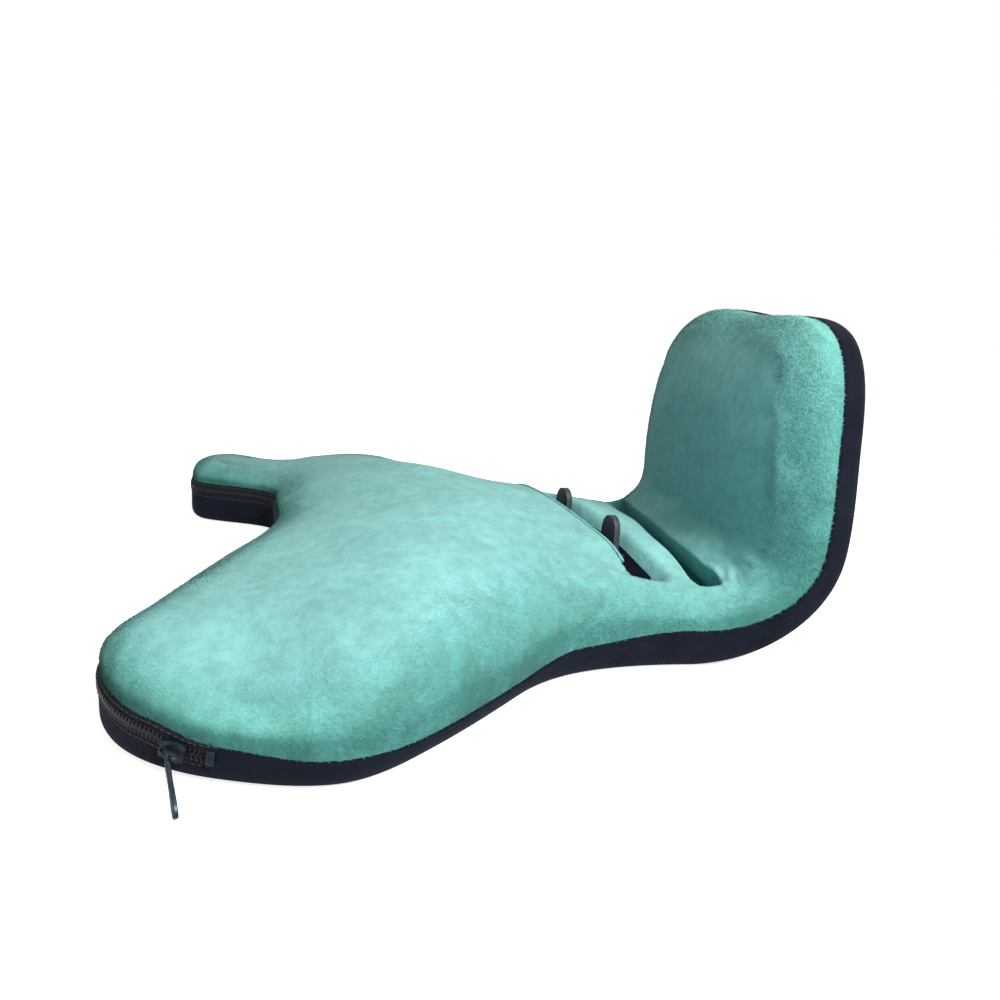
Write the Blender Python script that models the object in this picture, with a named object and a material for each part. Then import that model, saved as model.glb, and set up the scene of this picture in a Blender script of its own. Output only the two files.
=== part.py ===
"""Tablet cushion stand: a bent foam pad in a zipped cover, with a slot that holds a tablet's edge.

The pad is laid out flat first, in plan (x across, s along) and height, and is then bent up into the
backrest. Every cover is a portion of that one envelope, so the covers meet at their seams.
Metres, +Z up, the user sits on the -Y side.
"""
import math

import bpy
import bmesh
from mathutils import Matrix, Vector
from mathutils.geometry import delaunay_2d_cdt

COLLECTION = "tablet_cushion_stand"

GAP = 0.0003                # room between two pieces that touch
CORE_GAP = 0.0004           # and between the foam and its covers
COVER_THICKNESS = 0.0020    # plush, knit and zipper tape, each with its seam allowance

# the pad: where it turns up, and how far
BEND_START = 0.030          # s at which the flat underside ends
BEND_RADIUS = 0.074         # radius of the underside through the turn
BEND_ANGLE = math.radians(87.0)

# the rounded foot of the side wall, between the underside and the upright band
FOOT_RADIUS = 0.0070

# the crown: how the top rises inward from the seam
CROWN_REACH = 0.060         # distance from the edge at which full height is reached
CROWN_POWER = 2.3
CROWN_RINGS = (0.0010, 0.0040, 0.0090, 0.0160)
CROWN_HEIGHT = (            # s, full height of the pad there
    (-0.262, 0.048), (-0.200, 0.044), (-0.110, 0.068), (-0.030, 0.0615),
    (0.040, 0.049), (0.110, 0.041), (0.200, 0.050), (0.258, 0.047),
)
SIDE_SEAM = 0.0155          # height of the plush seam round most of the pad
ZIP_SEAM = 0.0290           # above the zipper
TURN_SEAM = 0.0220          # where the pad turns up
WAIST_SEAM = 0.0100         # where the plush hangs over the band
OUTLINE = (                 # x, s, heading in degrees, height of the plush seam
    (0.0000, 0.2575, 180, SIDE_SEAM),
    (-0.0780, 0.2470, 215, SIDE_SEAM),
    (-0.1020, 0.1900, 264, SIDE_SEAM),
    (-0.1070, 0.1500, 271, SIDE_SEAM),
    (-0.0930, 0.0300, 271, TURN_SEAM),
    (-0.1000, -0.0315, 250, 0.0165),
    (-0.1255, -0.0800, 232, WAIST_SEAM),
    (-0.1820, -0.1320, 230, 0.0120),
    (-0.2015, -0.1895, 266, 0.0170),
    (-0.1960, -0.2380, 296, ZIP_SEAM),
    (-0.1750, -0.2560, 359, ZIP_SEAM),
    (-0.1440, -0.2475, 421, ZIP_SEAM),
    (-0.1300, -0.2080, 425, ZIP_SEAM),
    (-0.1090, -0.1945, 356, ZIP_SEAM),
    (-0.0445, -0.1930, 349, ZIP_SEAM),
    (0.0240, -0.2200, 338, ZIP_SEAM),
    (0.0925, -0.2460, 340, ZIP_SEAM),
    (0.1265, -0.2575, 364, 0.0270),
    (0.1660, -0.2345, 413, 0.0228),
    (0.1803, -0.2055, 433, 0.0165),
    (0.1876, -0.1630, 453, 0.0130),
    (0.1650, -0.1190, 488, WAIST_SEAM),
    (0.1235, -0.0715, 493, WAIST_SEAM),
    (0.1015, -0.0330, 466, 0.0165),
    (0.0950, 0.0270, 449, TURN_SEAM),
    (0.1095, 0.1445, 453, SIDE_SEAM),
    (0.1005, 0.1915, 464, SIDE_SEAM),
    (0.0745, 0.2505, 500, SIDE_SEAM),
)
OUTLINE_STEP = 0.0150       # longest side of the faceted outline
OUTLINE_TURN = 13.0         # most degrees turned at one corner of it
TOP_STEP = 0.0150           # spacing of the points on the top
BASE_STEP = 0.0240          # and on the underside

# zipper round the notch, between two nodes of the outline
ZIP_FIRST_NODE = 8
ZIP_LAST_NODE = 19
TAPE_UPPER = 0.0052         # from the plush seam down to the middle of the zipper
TAPE_LOWER = 0.0053         # from there to the knit band
COIL_PITCH = 0.0050
COIL_WIDTH = 0.0024         # one row, measured up or down from the middle
COIL_THICK = 0.0017
COIL_WAVE = 0.0011          # how far the teeth of one row reach between those of the other
STOP_LENGTH = 0.0034

# slot for the tablet's edge, across the waist
SLOT_HALF_LENGTH = 0.066
SLOT_LIP = -0.019           # s of its front lip at the middle
SLOT_SLANT = 0.20           # the lip runs back toward the near side
SLOT_WALL = 0.0015
SLOT_FLOOR = 0.0150
SLOT_BACK = 0.0130
SLOT_DEPTH = 0.0170
SLOT_FADE = 0.0120

# pocket in the crease at the foot of the backrest
POCKET_HALF_LENGTH = 0.070
POCKET_MIDDLE = 0.058
POCKET_HALF_WIDTH = 0.0200
POCKET_DEPTH = 0.0220
POCKET_FADE = 0.0110

# comb of fingers that stands in the slot
COMB_STRIP = 0.0022         # thickness of the strip under the fingers
COMB_DEPTH = 0.0130
FINGER_COUNT = 2
FINGER_WIDTH = 0.0160
FINGER_THICK = 0.0038
FINGER_HEIGHT = 0.0225
FINGER_PITCH = 0.0590

# slider and pull
SLIDER_LENGTH = 0.0105
SLIDER_WIDTH = 0.0088
SLIDER_PLATE = 0.0016
BRIDGE_RADIUS = 0.0008
BRIDGE_RISE = 0.0033        # from the plate to the middle of the bridge
EYE_RADIUS = 0.0024         # middle of the pull's ring
EYE_WIRE = 0.0006
PULL_LENGTH = 0.0235
PULL_THICK = 0.0018
SLIDER_FROM_END = 0.0165    # from the zipper's near end back to the slider
PULL_REST = math.radians(55.0)      # how far the pull leans out from straight down, its tip by the floor
PULL_YAW = math.radians(44.0)       # how far it has turned on its ring toward the near side

PLUSH = ("plush_mint", "74B8B0", 0.95, 0.0)
KNIT = ("knit_black", "23262E", 0.90, 0.0)
LINING = ("lining_teal", "3F7E78", 0.92, 0.0)
FOAM = ("foam_cream", "E6DDC4", 0.95, 0.0)
TAPE = ("zip_tape_black", "15171C", 0.85, 0.0)
COIL = ("zip_coil_black", "0E0F12", 0.35, 0.0)
METAL = ("slider_dark_metal", "3A424C", 0.32, 0.9)
RUBBER = ("comb_rubber_black", "17191D", 0.60, 0.0)


def clear_scene():
    for obj in list(bpy.data.objects):
        bpy.data.objects.remove(obj, do_unlink=True)
    for mesh in list(bpy.data.meshes):
        bpy.data.meshes.remove(mesh)


def collection(name):
    group = bpy.data.collections.get(name) or bpy.data.collections.new(name)
    if group.name not in bpy.context.scene.collection.children:
        bpy.context.scene.collection.children.link(group)
    return group


def linear(channel):
    return channel / 12.92 if channel <= 0.04045 else ((channel + 0.055) / 1.055) ** 2.4


def material(spec):
    name, code, roughness, metallic = spec
    mat = bpy.data.materials.get(name)
    if mat:
        return mat
    mat = bpy.data.materials.new(name)
    mat.use_nodes = True
    shader = mat.node_tree.nodes["Principled BSDF"]
    colour = [linear(int(code[i:i + 2], 16) / 255) for i in (0, 2, 4)] + [1.0]
    shader.inputs["Base Color"].default_value = colour
    shader.inputs["Roughness"].default_value = roughness
    shader.inputs["Metallic"].default_value = metallic
    mat.diffuse_color = colour
    return mat


def add_object(name, verts, faces, spec, location=(0, 0, 0)):
    mesh = bpy.data.meshes.new(name)
    mesh.from_pydata([tuple(v) for v in verts], [], faces)
    mesh.update()
    obj = bpy.data.objects.new(name, mesh)
    obj.location = location
    if spec:
        obj.data.materials.append(material(spec))
    collection(COLLECTION).objects.link(obj)
    return obj


def lerp(a, b, t):
    return a + (b - a) * t


def smooth(t):
    t = min(max(t, 0.0), 1.0)
    return t * t * (3 - 2 * t)


def from_table(table, s):
    """Smoothly joined values of a short table."""
    if s <= table[0][0]:
        return table[0][1]
    for (s0, v0), (s1, v1) in zip(table, table[1:]):
        if s <= s1:
            return lerp(v0, v1, smooth((s - s0) / (s1 - s0)))
    return table[-1][1]


# The flat outline

class EdgePoint:
    """One corner of the outline: its place, the way inward, and the height of the plush seam."""

    def __init__(self, place, seam, node):
        self.place = place
        self.seam = seam
        self.node = node
        self.inward = None


def outline_points():
    """Join the nodes of the outline by curves that turn evenly, and sample them."""
    points = []
    for index, (x0, s0, heading0, seam0) in enumerate(OUTLINE):
        x1, s1, heading1, seam1 = OUTLINE[(index + 1) % len(OUTLINE)]
        a, b = Vector((x0, s0)), Vector((x1, s1))
        turn = math.radians((heading1 - heading0 + 180) % 360 - 180)
        chord = (b - a).length
        reach = chord / math.cos(turn / 4) ** 2
        ta = Vector((math.cos(math.radians(heading0)), math.sin(math.radians(heading0)))) * reach
        tb = Vector((math.cos(math.radians(heading1)), math.sin(math.radians(heading1)))) * reach
        count = max(1, round(max(chord / OUTLINE_STEP, abs(math.degrees(turn)) / OUTLINE_TURN)))
        for step in range(count):
            t = step / count
            place = ((2 * t ** 3 - 3 * t ** 2 + 1) * a + (t ** 3 - 2 * t ** 2 + t) * ta
                     + (3 * t ** 2 - 2 * t ** 3) * b + (t ** 3 - t ** 2) * tb)
            points.append(EdgePoint(place, lerp(seam0, seam1, smooth(t)), index + t))
    for index, point in enumerate(points):
        before, after = points[index - 1].place, points[(index + 1) % len(points)].place
        along = (after - point.place).normalized() + (point.place - before).normalized()
        along.normalize()
        point.inward = Vector((-along.y, along.x))
    return points


EDGE = outline_points()


def edge_distance(place):
    """Distance from a place in plan to the nearest side of the outline."""
    best = 1.0
    for index, point in enumerate(EDGE):
        a, b = EDGE[index - 1].place, point.place
        span = b - a
        t = min(max((place - a).dot(span) / span.length_squared, 0.0), 1.0)
        best = min(best, (a + span * t - place).length)
    return best


def inside(place):
    crossings = False
    for index, point in enumerate(EDGE):
        a, b = EDGE[index - 1].place, point.place
        if (a.y > place.y) != (b.y > place.y):
            if place.x < (b.x - a.x) * (place.y - a.y) / (b.y - a.y) + a.x:
                crossings = not crossings
    return crossings


def bend(x, s, height):
    """Take a point of the flat pad to its place in the bent one."""
    angle = min(max((s - BEND_START) / BEND_RADIUS, 0.0), BEND_ANGLE)
    beyond = max(s - BEND_START - BEND_RADIUS * BEND_ANGLE, 0.0)
    if s <= BEND_START:
        y, z = s, 0.0
    else:
        y = BEND_START + BEND_RADIUS * math.sin(angle) + beyond * math.cos(angle)
        z = BEND_RADIUS * (1 - math.cos(angle)) + beyond * math.sin(angle)
    return Vector((x, y - height * math.sin(angle), z + height * math.cos(angle)))


# Heights of the top

def crown(distance, seam, full):
    u = 1 - min(max(distance / CROWN_REACH, 0.0), 1.0)
    return seam + (full - seam) * (1 - u ** CROWN_POWER) ** (1 / CROWN_POWER)


def slot_rows(x):
    """Places along s of the slot's lip, the foot of its front wall, its floor's end and its rear edge."""
    lip = SLOT_LIP + SLOT_SLANT * x
    foot = lip + SLOT_WALL
    return lip, foot, foot + SLOT_FLOOR, foot + SLOT_FLOOR + SLOT_BACK


def slot_depth(x, s):
    lip, foot, floor_end, back = slot_rows(x)
    ends = smooth((SLOT_HALF_LENGTH + SLOT_FADE - abs(x)) / SLOT_FADE)
    if s <= lip or s >= back:
        return 0.0
    if s < foot:
        return SLOT_DEPTH * ends * (s - lip) / SLOT_WALL
    if s <= floor_end:
        return SLOT_DEPTH * ends
    return SLOT_DEPTH * ends * (1 - smooth((s - floor_end) / SLOT_BACK))


def pocket_depth(x, s):
    ends = smooth((POCKET_HALF_LENGTH + POCKET_FADE - abs(x)) / POCKET_FADE)
    across = abs(s - POCKET_MIDDLE) / POCKET_HALF_WIDTH
    return POCKET_DEPTH * ends * smooth((1.0 - across) / 0.55)


def top_points():
    """Points in plan over the top: rows across, with rows of their own for the slot and the pocket."""
    slot_columns = [i * SLOT_HALF_LENGTH / 5.5 for i in range(-6, 7)]
    pocket_columns = [i * POCKET_HALF_LENGTH / 5.2 for i in range(-6, 7)]
    pocket_rows = [POCKET_MIDDLE + POCKET_HALF_WIDTH * k for k in (-1.0, -0.5, 0.0, 0.5, 1.0)]
    points = []
    for x in slot_columns:
        lip, foot, floor_end, back = slot_rows(x)
        for s in (lip, foot, floor_end, lerp(floor_end, back, 0.5), back):
            points.append(Vector((x, s)))
    for x in pocket_columns:
        points += [Vector((x, s)) for s in pocket_rows]
    points = [p for p in points if inside(p) and edge_distance(p) > CROWN_RINGS[-1] + 0.0030]
    fixed = len(points)
    row = 0
    s = -0.250
    while s < 0.250:
        for i in range(-15, 16):
            place = Vector((i * TOP_STEP + (TOP_STEP / 2 if row % 2 else 0.0), s))
            if not inside(place) or edge_distance(place) < CROWN_RINGS[-1] + 0.0075:
                continue
            lip, _, _, back = slot_rows(place.x)
            if abs(place.x) < 0.080 and lip - 0.007 < s < back + 0.006:
                continue
            if abs(place.x) < 0.088 and abs(s - POCKET_MIDDLE) < POCKET_HALF_WIDTH + 0.006:
                continue
            if min((place - p).length for p in points[:fixed]) > 0.0075:
                points.append(place)
        s += TOP_STEP * 0.87
        row += 1
    return points


# The closed envelope

class Envelope:
    """The cushion's outer surface: points, and faces that each carry the name of their cover."""

    def __init__(self):
        self.flat = []
        self.points = []
        self.faces = []
        self.names = []

    def add_point(self, x, s, height):
        self.flat.append((x, s, height))
        self.points.append(bend(x, s, height))
        return len(self.points) - 1

    def add_face(self, corners, name):
        self.faces.append(tuple(corners))
        self.names.append(name)


def cap(envelope, ring, places, height_at, row=0):
    """Fill a ring with triangles over given places, and give the places their heights.

    The first places, as many as row says, are joined in a line from one side of the ring to the other.
    """
    coords = [Vector(envelope.flat[v][:2]) for v in ring] + places
    rim = len(ring)
    loop = [(i, (i + 1) % rim) for i in range(rim)]
    if row:
        ends = [min(range(rim), key=lambda i: (coords[i] - coords[j]).length) for j in (rim, rim + row - 1)]
        chain = [ends[0]] + list(range(rim, rim + row)) + [ends[1]]
        loop += list(zip(chain, chain[1:]))
    out, _, faces, origin, _, _ = delaunay_2d_cdt(coords, loop, [list(range(rim))], 1, 1e-7)
    index = []
    heights = {}
    for j, place in enumerate(out):
        source = origin[j][0] if origin[j] else None
        if source is not None and source < rim:
            index.append(ring[source])
        else:
            heights[len(index)] = height_at(place)
            index.append(None)
    around = {j: set() for j in heights}
    for face in faces:
        for j in face:
            if j in around:
                around[j].update(k for k in face if k != j)
    for _ in range(8):
        fresh = {}
        for j, friends in around.items():
            total = 0.0
            for k in friends:
                total += heights[k] if k in heights else envelope.flat[index[k]][2]
            fresh[j] = lerp(heights[j], total / len(friends), 0.5)
        heights = fresh
    return out, faces, index, heights


def build_envelope():
    env = Envelope()
    count = len(EDGE)
    zip_faces = [ZIP_FIRST_NODE <= p.node < ZIP_LAST_NODE for p in EDGE]

    def full(s):
        return from_table(CROWN_HEIGHT, s)

    levels = [[] for _ in range(6 + len(CROWN_RINGS))]
    for point in EDGE:
        seam = point.seam
        zipped = smooth((seam - SIDE_SEAM) / 0.0035)
        middle = lerp(FOOT_RADIUS + (seam - FOOT_RADIUS) * 0.66, seam - TAPE_UPPER, zipped)
        lower = lerp(FOOT_RADIUS + (seam - FOOT_RADIUS) * 0.33, seam - TAPE_UPPER - TAPE_LOWER, zipped)
        diagonal = FOOT_RADIUS * (1 - math.sqrt(0.5))
        steps = [(FOOT_RADIUS, 0.0), (diagonal, diagonal), (0.0, FOOT_RADIUS),
                 (0.0, lower), (0.0, middle), (0.0, seam)]
        for ring in CROWN_RINGS:
            place = point.place + point.inward * ring
            steps.append((ring, crown(ring, seam, full(place.y))))
        for level, (depth, height) in zip(levels, steps):
            place = point.place + point.inward * depth
            level.append(env.add_point(place.x, place.y, height))

    for k in range(len(levels) - 1):
        for i in range(count):
            j = (i + 1) % count
            if k == 0:
                middle = (EDGE[i].place.y + EDGE[j].place.y) / 2
                name = "base_panel" if middle < BEND_START else "back_panel"
            elif k in (1, 2):
                name = "side_band"
            elif k == 3:
                name = "zipper_tape_lower" if zip_faces[i] else "side_band"
            elif k == 4:
                name = "zipper_tape_upper" if zip_faces[i] else "side_band"
            else:
                name = "plush_cover"
            env.add_face((levels[k][i], levels[k][j], levels[k + 1][j], levels[k + 1][i]), name)

    seam_mean = 0.020
    places = top_points()
    out, faces, index, heights = cap(
        env, levels[-1], places, lambda p: crown(edge_distance(p), seam_mean, full(p.y)))
    for j, height in heights.items():
        x, s = out[j]
        height -= slot_depth(x, s) + pocket_depth(x, s)
        index[j] = env.add_point(x, s, height)
    for face in faces:
        centre = sum((Vector(out[j]) for j in face), Vector((0, 0))) / len(face)
        lip, foot, floor_end, _ = slot_rows(centre.x)
        name = "plush_cover"
        if abs(centre.x) < SLOT_HALF_LENGTH - 0.006 and lip < centre.y < floor_end:
            name = "slot_lining"
        elif (abs(centre.x) < POCKET_HALF_LENGTH - 0.0025
              and abs(centre.y - POCKET_MIDDLE) < POCKET_HALF_WIDTH * 0.5):
            name = "pocket_lining"
        env.add_face([index[j] for j in face], name)

    across = [i * 0.0190 for i in range(-4, 5)]
    base = [Vector((x, BEND_START)) for x in across]
    row = 0
    s = -0.240
    while s < 0.245:
        for i in range(-9, 10):
            place = Vector((i * BASE_STEP + (BASE_STEP / 2 if row % 2 else 0.0), s))
            if abs(s - BEND_START) < 0.009:
                continue
            if inside(place) and edge_distance(place) > FOOT_RADIUS + 0.011:
                base.append(place)
        s += BASE_STEP * 0.62 if BEND_START - 0.02 < s < BEND_START + 0.12 else BASE_STEP
        row += 1
    out, faces, index, heights = cap(env, levels[0], base, lambda p: 0.0, len(across))
    for j in heights:
        index[j] = env.add_point(out[j][0], out[j][1], 0.0)
    for face in faces:
        middle = sum(out[j].y for j in face) / len(face)
        name = "base_panel" if middle < BEND_START else "back_panel"
        env.add_face([index[j] for j in reversed(face)], name)
    return env, levels


def inward_shifts(env):
    """For each point, the vector that takes every face around it inward by one unit."""
    sums = [Matrix(((1e-9, 0, 0), (0, 1e-9, 0), (0, 0, 1e-9))) for _ in env.points]
    sides = [Vector((0, 0, 0)) for _ in env.points]
    plain = [Vector((0, 0, 0)) for _ in env.points]
    for face in env.faces:
        corners = [env.points[v] for v in face]
        normal = Vector((0, 0, 0))
        for a, b in zip(corners, corners[1:] + corners[:1]):
            normal += a.cross(b)
        area = normal.length
        if area < 1e-12:
            continue
        normal.normalize()
        for position, v in enumerate(face):
            before = corners[position - 1] - corners[position]
            after = corners[(position + 1) % len(face)] - corners[position]
            weight = before.angle(after, 0.0)
            for r in range(3):
                for c in range(3):
                    sums[v][r][c] += weight * normal[r] * normal[c]
            sides[v] += weight * normal
            plain[v] += weight * normal
    shifts = []
    for total, side, mean in zip(sums, sides, plain):
        mean = mean.normalized()
        for r in range(3):
            for c in range(3):
                total[r][c] += 0.06 * ((1.0 if r == c else 0.0) - mean[r] * mean[c])
        shift = total.inverted() @ side
        if shift.length > 1.6:
            shift = shift.normalized() * 1.6
        shifts.append(-shift)
    return shifts


def add_cover(env, shifts, name, spec):
    """One cover: its share of the envelope, kept clear of its neighbours and thickened inward."""
    own = [face for face, label in zip(env.faces, env.names) if label == name]
    edges = {}
    for face in own:
        for a, b in zip(face, face[1:] + face[:1]):
            edges[(a, b)] = face
    border = [(a, b) for (a, b) in edges if (b, a) not in edges]
    pull = {}
    for a, b in border:
        face = edges[(a, b)]
        centre = sum((env.points[v] for v in face), Vector((0, 0, 0))) / len(face)
        along = (env.points[b] - env.points[a]).normalized()
        for v in (a, b):
            inward = centre - env.points[v]
            inward = (inward - along * inward.dot(along)).normalized()
            pull.setdefault(v, []).append(inward)
    used = sorted({v for face in own for v in face})
    order = {v: i for i, v in enumerate(used)}
    outer = []
    for v in used:
        place = env.points[v].copy()
        if v in pull:
            mean = sum(pull[v], Vector((0, 0, 0))) / len(pull[v])
            place += mean * (GAP * 0.70 / max(mean.length_squared, 0.35))
        outer.append(place)
    inner = [place + shifts[v] * COVER_THICKNESS for v, place in zip(used, outer)]
    n = len(used)
    faces = [tuple(order[v] for v in face) for face in own]
    faces += [tuple(n + order[v] for v in reversed(face)) for face in own]
    for a, b in border:
        oa, ob = order[a], order[b]
        if a < b:       # both covers at a seam split its edge along the same diagonal
            faces += [(ob, oa, n + ob), (oa, n + oa, n + ob)]
        else:
            faces += [(ob, oa, n + oa), (ob, n + oa, n + ob)]
    return add_object(name, outer + inner, faces, spec)


def add_core(env, shifts):
    inset = COVER_THICKNESS + CORE_GAP
    points = [p + shift * inset for p, shift in zip(env.points, shifts)]
    return add_object("foam_core", points, list(env.faces), FOAM)


# Zipper

def zip_path(levels, env):
    """Corners of the zipper's middle line, each with its outward direction."""
    ring = levels[4]
    path = []
    for i, point in enumerate(EDGE):
        if ZIP_FIRST_NODE <= point.node <= ZIP_LAST_NODE:
            outward = Vector((-point.inward.x, -point.inward.y, 0.0))
            path.append((env.points[ring[i]].copy(), outward))
    return path


def along_path(path, distance):
    """Place, outward and forward directions at a distance along the zipper."""
    for (a, out_a), (b, out_b) in zip(path, path[1:]):
        span = (b - a).length
        if distance <= span or b is path[-1][0]:
            t = distance / span
            return a.lerp(b, t), out_a.lerp(out_b, t).normalized(), (b - a).normalized()
        distance -= span
    return None


def path_length(path):
    return sum((b[0] - a[0]).length for a, b in zip(path, path[1:]))


def add_coil(name, path, side, start, end):
    """One row of coil as a toothed cord on its tape; side is 1 for the upper row, -1 for the lower."""
    up = Vector((0, 0, 1))
    half = COIL_PITCH / 2
    count = int((end - start) / half)
    verts, faces = [], []
    for k in range(count + 1):
        place, outward, _ = along_path(path, start + k * half)
        wave = COIL_WAVE * (0.5 if k % 2 else -0.5)
        inner = wave + side * GAP * 0.85
        outer = side * COIL_WIDTH
        crest = lerp(inner, outer, 0.42)
        for rise, out in ((inner, GAP), (crest, GAP + COIL_THICK), (outer, GAP)):
            verts.append(place + up * rise + outward * out)
    for k in range(count):
        for r in range(3):
            q = (r + 1) % 3
            quad = (3 * k + r, 3 * k + q, 3 * k + 3 + q, 3 * k + 3 + r)
            faces.append(quad if side > 0 else quad[::-1])
    first, last = (0, 1, 2), (3 * count, 3 * count + 1, 3 * count + 2)
    faces.append(first[::-1] if side > 0 else first)
    faces.append(last if side > 0 else last[::-1])
    return add_object(name, verts, faces, COIL)


def frame_at(path, distance):
    """Matrix with X forward along the zipper, Y up and Z outward, at a distance along it."""
    place, outward, forward = along_path(path, distance)
    forward = (forward - outward * forward.dot(outward)).normalized()
    up = outward.cross(forward).normalized()
    matrix = Matrix((forward, up, outward)).transposed().to_4x4()
    matrix.translation = place
    return matrix


def prism(outline, low, high):
    """A closed prism over an outline in the XY plane."""
    n = len(outline)
    verts = [Vector((x, y, low)) for x, y in outline] + [Vector((x, y, high)) for x, y in outline]
    faces = [tuple(reversed(range(n))), tuple(range(n, 2 * n))]
    faces += [(i, (i + 1) % n, n + (i + 1) % n, n + i) for i in range(n)]
    return verts, faces


def tube(points, radius, sides=8):
    """A round bar along a chain of points, with flat ends."""
    verts, faces = [], []
    for i, point in enumerate(points):
        before, after = points[max(i - 1, 0)], points[min(i + 1, len(points) - 1)]
        along = (after - before).normalized()
        a = along.orthogonal().normalized() if i == 0 else (a - along * a.dot(along)).normalized()
        b = along.cross(a)
        for k in range(sides):
            angle = 2 * math.pi * k / sides
            verts.append(point + (a * math.cos(angle) + b * math.sin(angle)) * radius)
    for i in range(len(points) - 1):
        for k in range(sides):
            q = (k + 1) % sides
            faces.append((i * sides + k, i * sides + q, (i + 1) * sides + q, (i + 1) * sides + k))
    faces.append(tuple(reversed(range(sides))))
    faces.append(tuple(range((len(points) - 1) * sides, len(points) * sides)))
    return verts, faces


def boolean(obj, other, operation):
    """Apply an exact boolean with another object, which then leaves the scene's own collection."""
    change = obj.modifiers.new(operation.lower(), "BOOLEAN")
    change.operation = operation
    change.solver = "EXACT"
    change.object = other
    deps = bpy.context.evaluated_depsgraph_get()
    mesh = bpy.data.meshes.new_from_object(obj.evaluated_get(deps))
    obj.modifiers.clear()
    old = obj.data
    obj.data = mesh
    bpy.data.meshes.remove(old)
    bpy.data.objects.remove(other, do_unlink=True)
    return obj


def add_slider(path, distance):
    matrix = frame_at(path, distance)
    low = GAP + COIL_THICK + GAP
    half_l, half_w = SLIDER_LENGTH / 2, SLIDER_WIDTH / 2
    shield = [(-half_l, -half_w * 0.62), (-half_l * 0.55, -half_w * 0.80), (half_l * 0.45, -half_w),
              (half_l, -half_w * 0.72), (half_l, half_w * 0.72), (half_l * 0.45, half_w),
              (-half_l * 0.55, half_w * 0.80), (-half_l, half_w * 0.62)]
    body = add_object("zipper_slider", *prism(shield, low, low + SLIDER_PLATE), METAL)
    body.matrix_world = matrix
    for side in (-1, 1):
        inner, outer = side * (COIL_WIDTH + GAP), side * half_w * 0.80
        flange = [(-half_l * 0.5, inner), (half_l * 0.5, inner), (half_l * 0.5, outer), (-half_l * 0.5, outer)]
        if side < 0:
            flange.reverse()
        piece = add_object("flange", *prism(flange, GAP, low + SLIDER_PLATE / 2), METAL)
        piece.matrix_world = matrix
        bpy.context.view_layer.update()
        boolean(body, piece, "UNION")
    rise = low + SLIDER_PLATE + BRIDGE_RISE
    foot = low + SLIDER_PLATE / 2
    reach = half_l * 0.68
    bow = [Vector((-reach, 0, foot)), Vector((-reach, 0, rise - 0.0012)), Vector((-reach + 0.0010, 0, rise)),
           Vector((reach - 0.0010, 0, rise)), Vector((reach, 0, rise - 0.0012)), Vector((reach, 0, foot))]
    piece = add_object("bridge", *tube(bow, BRIDGE_RADIUS), METAL)
    piece.matrix_world = matrix
    bpy.context.view_layer.update()
    boolean(body, piece, "UNION")
    return matrix, rise


def add_pull(matrix, rise):
    """The pull hangs by its ring from the bridge; its origin is on the bridge's middle line."""
    sides = 6
    verts, faces = [], []
    for k in range(12):
        angle = 2 * math.pi * k / 12
        out = Vector((0, math.cos(angle), math.sin(angle)))
        for m in range(sides):
            turn = 2 * math.pi * m / sides
            verts.append(out * (EYE_RADIUS + EYE_WIRE * math.cos(turn)) + Vector((EYE_WIRE * math.sin(turn), 0, 0)))
    for k in range(12):
        for m in range(sides):
            n, q = (k + 1) % 12, (m + 1) % sides
            faces.append((k * sides + m, n * sides + m, n * sides + q, k * sides + q))
    pull = add_object("zipper_pull", verts, faces, METAL)
    start = EYE_RADIUS + EYE_WIRE * 0.2
    tip = PULL_LENGTH
    half = [(0.0011, start), (0.0016, start + 0.0040), (0.0014, start + 0.0080), (0.0021, tip * 0.62),
            (0.0025, tip - 0.0040), (0.0021, tip - 0.0014), (0.0010, tip)]
    outline = [(x, -y) for x, y in half] + [(-x, -y) for x, y in reversed(half)]
    outline.reverse()
    verts, faces = prism(outline, -PULL_THICK / 2, PULL_THICK / 2)
    verts = [Vector((-z, y, x)) for x, y, z in verts]
    blade = add_object("blade", verts, faces, METAL)
    boolean(pull, blade, "UNION")
    place = matrix @ Vector((0, 0, rise))
    outward = Matrix.Rotation(PULL_YAW, 3, "Z") @ matrix.to_3x3().col[2]
    outward = Vector((outward.x, outward.y, 0.0)).normalized()
    upward = Vector((0, 0, 1))
    hang = Matrix((upward.cross(outward), upward, outward)).transposed().to_4x4()
    pull.matrix_world = Matrix.Translation(place) @ hang @ Matrix.Rotation(-PULL_REST, 4, "X")
    return pull


def add_stop(name, path, distance):
    matrix = frame_at(path, distance)
    half_l, half_w = STOP_LENGTH / 2, COIL_WIDTH + 0.0006
    outline = [(-half_l, -half_w), (half_l, -half_w), (half_l, half_w), (-half_l, half_w)]
    stop = add_object(name, *prism(outline, GAP, GAP + COIL_THICK + 0.0005), METAL)
    stop.matrix_world = matrix
    return stop


# Comb in the slot

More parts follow.
